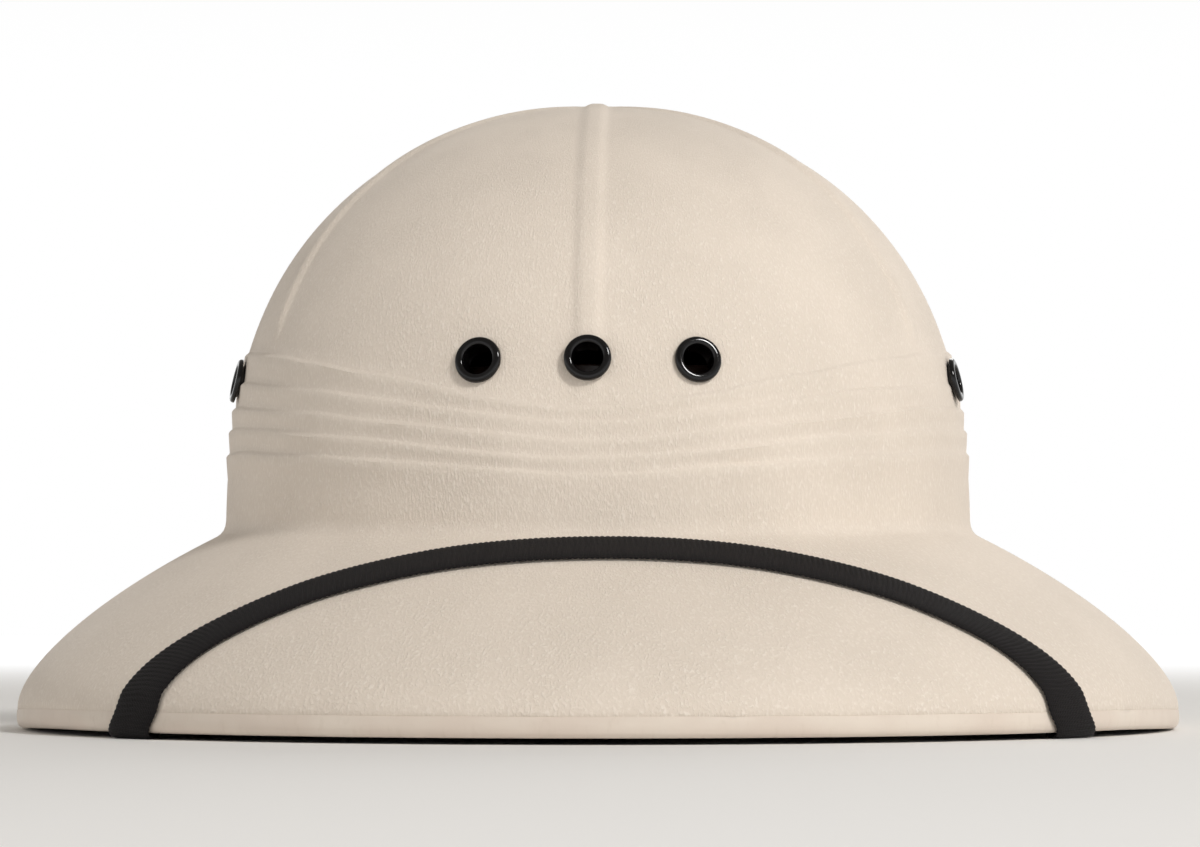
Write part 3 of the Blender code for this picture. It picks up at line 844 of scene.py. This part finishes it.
# --- eyelets -----------------------------------------------------------------------
# Black enamelled metal eyelets, clenched through the wall: a domed flange outside that
# rolls into the bore, and a curled flange inside. Three in front and one at each side.
ENAMEL = paint(11, 10, 11)
ENAMEL_DUSTY = paint(22, 20, 19)
BORE = 3.5 * MM                 # radii
BARREL = 4.0 * MM
FLANGE = 5.5 * MM
CURL = 5.2 * MM
FLANGE_DOME = 1.1 * MM
FLANGE_TOP = GAP + 1.05 * FLANGE_DOME
CURL_TOP = -WALL - 1.25 * MM    # the inner flange stands off the curved wall
CURL_FOOT = CURL_TOP - FLANGE_DOME
EYELET_PROFILE = (              # radius, height over the cloth, radius of the corner
    (FLANGE, GAP, 0.12 * MM),
    (FLANGE, FLANGE_TOP, 1.0 * MM),
    (BORE, FLANGE_TOP, 0.8 * MM),
    (BORE, CURL_FOOT, 0.5 * MM),
    (CURL, CURL_FOOT, 0.5 * MM),
    (CURL, CURL_TOP, 0.12 * MM),
    (BARREL, CURL_TOP, 0.1 * MM),
    (BARREL, GAP, 0.1 * MM),
)
EYELET_SIDES = 64


def eyelet_tree():
    """Sets the ring that is given on every point, square to the crown there."""
    tree, given = new_tree("set_eyelets", ("Ring", "Object"), ("Finish", "Material"))
    points = given["Geometry"]
    ring = points.node("GeometryNodeObjectInfo", {}, {0: given["Ring"]}, "Geometry")
    turn = points.node("FunctionNodeAlignRotationToVector", {"axis": "Z"},
                       {"Vector": points.named("outward", "FLOAT_VECTOR")})
    rings = points.node("GeometryNodeInstanceOnPoints", {},
                        {"Points": points, "Instance": ring, "Rotation": turn})
    end_tree(tree, rings, given["Finish"])
    return tree


def eyelet_ring():
    """The eyelet's profile turned about local Z."""
    outline = [Vector((across, 0.0, up)) for across, up in rounded_profile(EYELET_PROFILE)]
    rows = [[Matrix.Rotation(turn, 3, "Z") @ point for point in outline]
            for turn in even_turns(EYELET_SIDES)]
    return formed("eyelet_ring", loft(rows, closed=True))


def black_enamel():
    finish = Finish("black_enamel", {"Specular IOR Level": 0.3, "Coat Weight": 0.2,
                                     "Coat Roughness": 0.05})
    dust = finish.place.grain(0.5 * MM, 3.0)
    orange_peel = finish.place.grain(0.9 * MM, 1.0)
    finish.relief(orange_peel, 0.012 * MM)
    return finish.painted(dust.between(0.55, 0.8).mix(ENAMEL, ENAMEL_DUSTY), dust * 0.1 + 0.05)


def make_eyelets():
    ring = eyelet_ring()
    mesh = bpy.data.meshes.new("eyelet_places")
    places = [eyelet_place(angle, height, proud) for _, angle, height, proud in EYELETS]
    mesh.from_pydata([place.translation for place in places], [], [])
    outward = mesh.attributes.new("outward", "FLOAT_VECTOR", "POINT")
    for value, place in zip(outward.data, places):
        value.vector = place.col[2].xyz
    made = grown(as_object("eyelet_places", mesh), eyelet_tree(), Ring=ring, Finish=black_enamel())
    bpy.data.objects.remove(ring)
    eyelets = as_object("enamelled_eyelets", outward_mesh(made))
    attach(eyelets, "root")
    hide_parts(*[name for name, _, _, _ in EYELETS])


make_eyelets()

# --- opening piping ----------------------------------------------------------------
# A bead of glossy black vinyl over a cord, glued into the corner where the brim's lining
# ends at the opening.
PIPING_BLACK = paint(17, 16, 16)
PIPING_WORN = paint(27, 24, 23)
PIPING_RADIUS = 0.9 * MM
PIPING_INSET = 3.7 * MM         # from the crown's oval
PIPING_DROP = 1.0 * MM          # below the brim's root
PIPING_SIDES = 14


def gloss_vinyl():
    finish = Finish("gloss_vinyl", {"Coat Weight": 0.5, "Coat Roughness": 0.12})
    ripple = finish.place.grain(4.0 * MM, 2.0)
    skin = finish.place.grain(0.6 * MM, 2.0)
    finish.relief(ripple * 0.7 + skin * 0.3, 0.05 * MM)
    return finish.painted(ripple.between(0.4, 0.7).mix(PIPING_BLACK, PIPING_WORN),
                          skin * 0.2 + 0.16)


def make_piping():
    outline = [(PIPING_RADIUS * math.cos(turn), PIPING_RADIUS * math.sin(turn), 0.0)
               for turn in even_turns(PIPING_SIDES)]
    line = [inset_point(CROWN_OVAL, angle, PIPING_INSET, brim_point(angle, 0.0).z - PIPING_DROP)
            for angle in even_turns(RIM_STEPS)]
    piping = as_object("piping_bead", swept_ring("opening", outline, line, gloss_vinyl()))
    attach(piping, "root")
    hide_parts("opening_piping")


make_piping()

# --- sweatband ---------------------------------------------------------------------
# A strip of brown vinyl with a grain like leather, standing inside the crown a finger's
# width clear of it. Its edges are skived thin and rounded.
BAND_OVAL = dict(half=83.0 * MM, front=91.0 * MM, back=90.5 * MM,
                 square_front=1.85, square_back=1.85, centre=-14.5 * MM)
BAND_SHIFT = 3.0 * MM
BAND_THICK = 1.4 * MM
BAND_FOOT = 46.0 * MM
BAND_HEIGHT = 40.0 * MM
BAND_TOP = BAND_FOOT + BAND_HEIGHT
BAND_LEAN = 2.0 * MM            # the top leans inward
BAND_RIPPLE = 0.35 * MM         # its top edge isn't quite even
RIPPLE_COUNT = 3.0
SKIVED = 0.5 * MM
BAND_PROFILE = (                # depth out from the inner face, height, radius of the edge
    (0.0, BAND_FOOT, SKIVED),
    (0.0, BAND_TOP, SKIVED),
    (BAND_THICK, BAND_TOP, SKIVED),
    (BAND_THICK, BAND_FOOT, SKIVED),
)
BAND_ROWS = 9
BAND_STEPS = 240
BAND_BROWN = paint(60, 40, 31)
BAND_BROWN_DEEP = paint(44, 29, 23)
BAND_SHADE_BLACK = paint(14, 11, 10)
BAND_SHADE_UP = 7.0 * MM             # the painted shade fades out this far above the lower edge
PEBBLE_WIDTH = 1.1 * MM


def band_point(angle, height, depth):
    """A point of the band, depth out from its inner face."""
    lean = BAND_LEAN * (height - BAND_FOOT) / BAND_HEIGHT
    point = inset_point(BAND_OVAL, angle, lean - depth, height)
    point.x += BAND_SHIFT
    return point


def grained_vinyl():
    """Brown vinyl, with painted shade: darkened to black along its lower edge."""
    finish = Finish("grained_vinyl", {"Specular IOR Level": 0.4, "Coat Weight": 0.1,
                                      "Coat Roughness": 0.3})
    place = finish.place
    # Painted shade: the band darkens to black towards its lower edge.
    edge = place.height().between(BAND_FOOT + BAND_SHADE_UP, BAND_FOOT + SKIVED)
    pebbles = place.node("ShaderNodeTexVoronoi", {"feature": "SMOOTH_F1"},
                         {"Vector": place, "Scale": 1.0 / PEBBLE_WIDTH, "Smoothness": 0.4})
    creases = place.grain(7.0 * MM, 3.0, Distortion=1.2)
    finish.relief(pebbles * -0.7 + creases * 0.6, 0.09 * MM)
    brown = creases.between(0.45, 0.75).mix(BAND_BROWN, BAND_BROWN_DEEP)
    return finish.painted(edge.mix(brown, BAND_SHADE_BLACK), pebbles * 0.2 + edge * 0.2 + 0.27)


def band_outline():
    """The strip's rounded section, with even rows up both of its faces."""
    outline = []
    for point in rounded_profile(BAND_PROFILE):
        before = outline[-1] if outline else point
        if abs(point.y - before.y) > 0.5 * BAND_HEIGHT:
            outline += [before.lerp(point, row / BAND_ROWS) for row in range(1, BAND_ROWS)]
        outline.append(point)
    return outline


def make_sweatband():
    turns = even_turns(BAND_STEPS)
    circle = [Vector((math.cos(angle), math.sin(angle), 0.0)) for angle in turns]
    ripples = [BAND_RIPPLE * noise.noise(point * RIPPLE_COUNT) for point in circle]
    rows = []
    for depth, height in band_outline():
        share = smooth_step((height - BAND_TOP) / BAND_HEIGHT + 1.0)
        rows.append([band_point(angle, height + ripple * share, depth)
                     for angle, ripple in zip(turns, ripples)])
    band = formed("vinyl_sweatband", loft(rows, closed=True), grained_vinyl())
    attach(band, "root")
    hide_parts("sweatband")


make_sweatband()

# --- band pads ---------------------------------------------------------------------
# Four blocks of dark felt, glued between the sweatband and the crown: they hold the band
# clear, so that air passes up to the eyelets.
PAD_WIDTH = 20.0 * MM
PAD_FOOT = 55.0 * MM
PAD_TOP = 73.0 * MM
PAD_CLEAR = 0.3 * MM
PAD_ROUND = 1.2 * MM
PAD_ROWS = 8
PAD_ACROSS = 14
PAD_GRID = 0.7 * MM
FELT = paint(20, 18, 17)
FELT_LIGHT = paint(44, 40, 37)
FELT_FUZZ = 0.22 * MM
FELT_SINK = 0.8                 # the fuzz is drawn in, so that it stays clear of the band
PADS = (("band_pad_front", 0.0), ("band_pad_right", 90.0 * DEG),
        ("band_pad_back", 180.0 * DEG), ("band_pad_left", -90.0 * DEG))


def dark_felt():
    finish = Finish("dark_felt", {"Specular IOR Level": 0.2, "Sheen Weight": 0.06})
    fibres = finish.place.grain(0.35 * MM, 4.0, Distortion=2.0)
    clumps = finish.place.grain(2.4 * MM, 2.0)
    finish.relief(fibres * 0.6 + clumps * 0.4, 0.25 * MM)
    return finish.painted(fibres.between(0.35, 0.7).mix(FELT, FELT_LIGHT), clumps * 0.1 + 0.88)


def make_pad(name, angle, material):
    rows = []
    half_turn = 0.5 * PAD_WIDTH / CROWN_OVAL["half"]
    turns = [angle + half_turn * (2.0 * step / PAD_ACROSS - 1.0) for step in range(PAD_ACROSS + 1)]
    for ring in range(PAD_ROWS + 1):
        height = PAD_FOOT + (PAD_TOP - PAD_FOOT) * ring / PAD_ROWS
        wall = [crown_point(turn, height) - crown_normal(turn, height) * (WALL + PAD_CLEAR)
                for turn in turns]
        band = [band_point(turn, height, BAND_THICK + GAP) for turn in turns]
        rows.append(wall + band[::-1])
    form = loft(rows, ends=True)
    sharp = [edge for edge in form.edges if edge.calc_face_angle(0.0) > SHARP_ANGLE]
    bmesh.ops.bevel(form, geom=sharp, offset=PAD_ROUND, segments=3, profile=0.5, affect="EDGES")
    pad = formed(name, form, material)
    cut = pad.modifiers.new("even_mesh", "REMESH")
    cut.mode = "VOXEL"
    cut.voxel_size = PAD_GRID
    mesh = evaluated_mesh(pad)
    for vertex in mesh.vertices:
        fuzz = noise.noise(vertex.co / MM) - FELT_SINK
        vertex.co += vertex.normal * (FELT_FUZZ * fuzz)
    mesh.shade_smooth()
    return as_object(name, mesh)


def make_pads():
    felt = dark_felt()
    for name, angle in PADS:
        pad = make_pad(name.replace("band", "felt"), angle, felt)
        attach(pad, "root")
        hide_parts(name)


make_pads()

# --- chin strap --------------------------------------------------------------------
# A woven elastic ribbon with a ribbed face and scalloped edges: one whole loop, laid flat
# on the brim, folded round the rim at both sides, drawn straight under the brim into the
# crown and tucked up behind the sweatband.
STRAP_WIDTH = 11.0 * MM
STRAP_THICK = 1.1 * MM
STRAP_CROSSING = 45.6 * DEG     # between the strap and the rim
STRAP_SHIFT = 2.2 * DEG         # all of it lies a little to one side
STRAP_TOP = (                   # angle, share from crown to rim, turn of the cross line
    (0.0, 0.14, 0.0),
    (9.5 * DEG, 0.165, 0.0),
    (18.7 * DEG, 0.24, 0.0),
    (27.2 * DEG, 0.37, 0.0),
    (33.9 * DEG, 0.52, 0.0),
    (39.7 * DEG, 0.71, 0.25),
    (43.1 * DEG, 0.85, 0.7),
    (44.9 * DEG, 0.945, 0.95),
    (45.6 * DEG, 0.985, 1.0),
)
TOP_STEPS = 2                   # sections from one of these places to the next
STRAP_CLEAR = GAP + 0.5 * STRAP_THICK   # from a face to the ribbon's middle layer
STRAP_WRAP = (46.1 * DEG, 48.7 * DEG)   # angles at which it reaches the rim and leaves it
STRAP_ROUND = (                 # inset from the rim, height, turn of the face in half circles
    (-STRAP_CLEAR, SHOULDER_HEIGHT, 0.0),
    (-STRAP_CLEAR, 1.5 * MM, 0.0),
    (-0.1 * MM, -0.1 * MM, 0.25),
    (1.5 * MM, -STRAP_CLEAR, 0.5),
    (BINDING_FULL, -STRAP_CLEAR, 0.5),
)
TAUT_STEPS = 8                  # sections of the straight stretch under the brim
STRAP_INSIDE = (                # angle, inset from the crown's oval, height
    (65.0 * DEG, 5.0 * MM, 45.9 * MM),
    (66.0 * DEG, 6.0 * MM, 47.4 * MM),
    (69.0 * DEG, 6.1 * MM, 54.0 * MM),
    (73.0 * DEG, 6.5 * MM, 66.0 * MM),
)
SMOOTH_STEPS = 16               # on the smooth line from one section to the next
RIBBON_STEP = 0.24 * MM         # spacing of the fine sections
RIBBON_ACROSS = 12
RIBBON_EDGE = 5                 # power of the ribbon's section: the higher, the squarer
RIB_LENGTH = 1.25 * MM          # from one woven rib to the next
RIB_DEPTH = 0.17 * MM
RIB_SLANT = 0.55                # each rib runs forward this much towards the edges
YARN = paint(14, 11, 12)
YARN_BLOOM = paint(33, 27, 27)
THREAD_COUNT = 26.0             # across the ribbon
PICK_LENGTH = 0.42 * MM         # from one crosswise thread to the next
PICK_SLANT = 9.0


def smooth_rows(rows, steps):
    """Catmull-Rom through rows of numbers, steps between each pair."""
    padded = [rows[0]] + list(rows) + [rows[-1]]
    result = []
    for four in zip(padded, padded[1:], padded[2:], padded[3:]):
        for step in range(steps):
            t = step / steps
            result.append(tuple(
                0.5 * (2 * b + (c - a) * t + (2 * a - 5 * b + 4 * c - d) * t * t
                       + (3 * b - a - 3 * c + d) * t ** 3)
                for a, b, c, d in zip(*four)))
    result.append(tuple(rows[-1]))
    return result


def brim_offset(angle, share, offset):
    """The angle and share of the brim's point nearest to this one moved by offset."""
    low = max(share - 2.0 * SHARE_STEP, 0.0)
    high = min(share + 2.0 * SHARE_STEP, 1.0)
    around = brim_around(angle, share) / (2.0 * TURN_STEP)
    outward = (brim_point(angle, high) - brim_point(angle, low)) / (high - low)
    mixed = around.dot(outward)
    scale = around.length_squared * outward.length_squared - mixed * mixed
    near = offset.dot(around)
    far = offset.dot(outward)
    return (angle + (near * outward.length_squared - far * mixed) / scale,
            share + (far * around.length_squared - near * mixed) / scale)


def strap_top_sections(hand):
    """Three points across the ribbon's middle layer, with the face's direction."""
    mirrored = (-STRAP_TOP[1][0], STRAP_TOP[1][1], 0.0)
    route = [(hand * angle + STRAP_SHIFT, share, skew)
             for angle, share, skew in smooth_rows((mirrored,) + STRAP_TOP, TOP_STEPS)]
    sections = []
    for place in range(TOP_STEPS, len(route)):
        angle, share, skew = route[place]
        before = route[place - 1]
        after = route[min(place + 1, len(route) - 1)]
        run = brim_point(*after[:2]) - brim_point(*before[:2])
        across = run.cross(brim_normal(angle, share)).normalized() * hand
        along = brim_around(angle, share).normalized()
        if along.dot(across) < 0.0:
            along.negate()
        cross_line = across.lerp(along / math.sin(STRAP_CROSSING), skew) * 0.5 * STRAP_WIDTH
        section = []
        for side in (-1.0, 0.0, 1.0):
            turn, reach = brim_offset(angle, share, cross_line * side)
            face = brim_normal(turn, reach)
            section.append((brim_point(turn, reach) + face * STRAP_CLEAR, face))
        sections.append(section)
    return sections


def on_rim(angle, inset, height, turn):
    """A point of the ribbon round the rim, and the direction that its face looks in."""
    face = oval_outward(EDGE_OVAL, angle) * math.cos(turn * math.pi)
    face.z = -math.sin(turn * math.pi)
    return rim_point(angle, inset, height), face


def on_wall(angle, inset, height):
    """The same inside the crown."""
    return inset_point(CROWN_OVAL, angle, inset, height), -oval_outward(CROWN_OVAL, angle)


def turned_section(hand, angle, oval, place, *where):
    """A section along an oval: place gives the point and face at an angle."""
    reach = 0.5 * STRAP_WIDTH / math.sin(STRAP_CROSSING) / oval["half"]
    return [place(hand * (angle - side * reach) + STRAP_SHIFT, *where)
            for side in (-1.0, 0.0, 1.0)]


def running_lengths(points):
    """How far along a line its points lie."""
    lengths = [0.0]
    for before, after in zip(points, points[1:]):
        lengths.append(lengths[-1] + math.dist(before, after))
    return lengths


def strap_wrap_sections(hand):
    """Round the rim: its lower edge softly outside, and off along the straight inside."""
    lengths = running_lengths([place[:2] for place in STRAP_ROUND])
    first, last = STRAP_WRAP
    return [turned_section(hand, first + (last - first) * length / lengths[-1], EDGE_OVAL,
                           on_rim, *place) for length, place in zip(lengths, STRAP_ROUND)]


def taut_sections(start, end):
    """The ribbon drawn straight from one section to another, its face turned down."""
    run = end[1][0] - start[1][0]
    sections = []
    for step in range(TAUT_STEPS + 1):
        share = smooth_step(step / TAUT_STEPS)
        points = [first.lerp(last, share) for (first, _), (last, _) in zip(start, end)]
        face = run.cross(points[2] - points[0]).normalized()
        if face.z > 0.0:
            face.negate()
        sections.append([(point, face) for point in points])
    return sections


def strap_half(hand):
    """One half, from the brim's front round the rim and up behind the sweatband."""
    wrap = strap_wrap_sections(hand)
    inside = [turned_section(hand, angle, CROWN_OVAL, on_wall, inset, height)
              for angle, inset, height in STRAP_INSIDE]
    taut = taut_sections(wrap[-1], inside[0])
    return strap_top_sections(hand) + wrap[:-1] + taut + inside[1:]


def fine_sections():
    """Sections RIBBON_STEP apart along the whole ribbon: (length so far, points, faces)."""
    left = strap_half(-1.0)
    right = strap_half(1.0)
    flat = [[number for point, face in section for number in (*point, *face)]
            for section in left[:0:-1] + right]
    dense = smooth_rows(flat, SMOOTH_STEPS)
    lengths = running_lengths([row[6:9] for row in dense])
    count = int(lengths[-1] / RIBBON_STEP)
    sections = []
    place = 0
    for step in range(count + 1):
        length = lengths[-1] * step / count
        while place < len(lengths) - 2 and lengths[place + 1] < length:
            place += 1
        share = (length - lengths[place]) / (lengths[place + 1] - lengths[place])
        row = [a + (b - a) * share for a, b in zip(dense[place], dense[place + 1])]
        rails = [Vector(row[start:start + 3]) for start in range(0, len(row), 3)]
        sections.append((length, rails[0::2], rails[1::2]))
    return sections


def across_three(three, side):
    """Through three values at -1, 0 and 1."""
    low, middle, high = three
    return (middle + (high - low) * (0.5 * side)
            + (high + low - 2.0 * middle) * (0.5 * side * side))


def ribbon_form(sections):
    """The ribbon before its ribs are woven in, with the places along and across it."""
    sides = [math.sin(0.5 * math.pi * (2.0 * step / RIBBON_ACROSS - 1.0))
             for step in range(RIBBON_ACROSS + 1)]
    ring = [(side, 1.0) for side in sides] + [(side, -1.0) for side in sides[-2:0:-1]]
    rows = []
    places = []
    for length, rails, faces in sections:
        row = []
        for side, layer in ring:
            half = 0.5 * STRAP_THICK * (1.0 - abs(side) ** RIBBON_EDGE) ** 0.5
            face = across_three(faces, side).normalized()
            point = across_three(rails, side) + face * (half * layer)
            # The hat's weight presses it flat where it lies between the rim and the ground.
            point.z = max(point.z, 0.0)
            row.append(point)
            places.append((length, side))
        rows.append(row)
    return loft(rows, ends=True), places


def woven_tree():
    """Draws the surface in between the ribs, which meet in a blunt V along the middle."""
    tree, given = new_tree("woven_ribs", ("Rib Length", "Float"), ("Rib Depth", "Float"),
                           ("Rib Slant", "Float"), ("Finish", "Material"))
    ribbon = given["Geometry"]
    aside = ribbon.math("ABSOLUTE", ribbon.named("across"))
    slanted = ribbon.named("along") + aside * given["Rib Slant"]
    turn = slanted / given["Rib Length"] * (2.0 * math.pi)
    trough = 0.5 - ribbon.math("COSINE", turn) * 0.5
    depth = ribbon.math("POWER", trough, 2.0) * given["Rib Depth"]
    inward = ribbon.node("GeometryNodeInputNormal", {}, {}).scaled(depth * -1.0)
    drawn = ribbon.node("GeometryNodeSetPosition", {}, {0: ribbon, "Offset": inward})
    end_tree(tree, drawn, given["Finish"])
    return tree


def woven_elastic():
    """Black yarns: crosswise ribs, each of fine twisted threads, with a dull bloom."""
    finish = Finish("woven_elastic", {"Specular IOR Level": 0.25, "Sheen Weight": 0.03})
    along = finish.attribute("along")
    across = finish.attribute("across")
    threads = along.math("SINE", across * (math.pi * THREAD_COUNT))
    picks = along.math("SINE", along * (2.0 * math.pi / PICK_LENGTH) + across * PICK_SLANT)
    fuzz = finish.place.grain(0.28 * MM, 3.0)
    finish.relief(threads * 0.22 + picks * 0.22 + fuzz * 0.5, 0.12 * MM)
    bloom = (fuzz * 0.7 + picks * 0.15).between(0.3, 0.75)
    return finish.painted(bloom.mix(YARN, YARN_BLOOM), fuzz * 0.2 + 0.72)


def make_strap():
    form, places = ribbon_form(fine_sections())
    ribbon = formed("plain_ribbon", form)
    for name, values in zip(("along", "across"), zip(*places)):
        attribute = ribbon.data.attributes.new(name, "FLOAT", "POINT")
        attribute.data.foreach_set("value", values)
    values = {"Rib Length": RIB_LENGTH, "Rib Depth": RIB_DEPTH,
              "Rib Slant": RIB_SLANT * RIB_LENGTH, "Finish": woven_elastic()}
    strap = as_object("ribbon_strap", grown(ribbon, woven_tree(), **values))
    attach(strap, "root")
    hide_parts("chin_strap")


make_strap()

# --- studio ------------------------------------------------------------------------
# A pale floor and soft light from the front right and above. The camera looks at the hat
# from just over the floor, straight at its front.
FLOOR_SIZE = 40.0
FLOOR_PALE = paint(240, 239, 237)
FLOOR_FADE = (0.35, 2.2)        # distances from the hat between which the floor turns white
CAMERA_DISTANCE = 0.98
CAMERA_HEIGHT = 0.024
CAMERA_TURN = 1.4 * DEG
LOOK_HEIGHT = 0.078
SENSOR = 36.0
FOCAL = 113.6
LIGHTS = (                      # name, place, size, power, colour
    ("key", (1.1, -1.3, 1.35), 0.45, 23.0, (1.0, 0.985, 0.97)),
    ("fill", (-1.6, -1.2, 1.2), 1.2, 0.2, (1.0, 0.96, 0.92)),
    ("back", (0.4, 1.6, 1.2), 1.0, 7.0, (1.0, 0.99, 0.97)),
)
LIGHT_HEIGHT = 0.06             # where they point
SKY_LOW = (0.14, 0.5)           # the studio's wall is white up to here, and dim above
SKY_WHITE = (1.0, 1.0, 1.0, 1.0)
SKY_DIM = (0.28, 0.265, 0.245, 1.0)
BLACK = (0.0, 0.0, 0.0, 1.0)


def make_floor():
    bpy.ops.mesh.primitive_plane_add(size=FLOOR_SIZE)
    floor = bpy.context.object
    floor.name = "studio_floor"
    finish = Finish("pale_floor", {"Roughness": 0.9, "Emission Strength": 1.0})
    far = finish.place.vector("LENGTH", finish.place, output=1).between(*FLOOR_FADE)
    finish.drive("Base Color", far.mix(FLOOR_PALE, BLACK))
    finish.drive("Emission Color", far.mix(BLACK, SKY_WHITE))
    floor.data.materials.append(finish.material)


def stand(item, place, height):
    """Puts a light or the camera in its place, pointing at the hat at this height."""
    item.location = place
    line = Vector((0.0, 0.0, height)) - item.location
    item.rotation_euler = line.to_track_quat("-Z", "Y").to_euler()


def make_lights():
    for name, place, size, power, colour in LIGHTS:
        light = bpy.data.lights.new(name, "AREA")
        light.shape = "DISK"
        light.size = size
        light.energy = power
        light.color = colour
        stand(as_object(name, light), place, LIGHT_HEIGHT)


def make_sky():
    world = bpy.data.worlds.new("studio")
    world.use_nodes = True
    tree = world.node_tree
    direction = Field(tree).node("ShaderNodeTexCoord", {}, {}, "Generated")
    colour = direction.height().between(*SKY_LOW).mix(SKY_WHITE, SKY_DIM)
    tree.links.new(colour.socket, tree.nodes["Background"].inputs["Color"])
    bpy.context.scene.world = world


def make_camera():
    lens = bpy.data.cameras.new("camera")
    lens.sensor_width = SENSOR
    lens.lens = FOCAL
    camera = as_object("camera", lens)
    across = CAMERA_DISTANCE * math.sin(CAMERA_TURN)
    ahead = CAMERA_DISTANCE * math.cos(CAMERA_TURN)
    stand(camera, (across, -ahead, CAMERA_HEIGHT), LOOK_HEIGHT)
    bpy.context.scene.camera = camera


make_floor()
make_lights()
make_sky()
make_camera()
bpy.context.scene.view_settings.view_transform = "Standard"
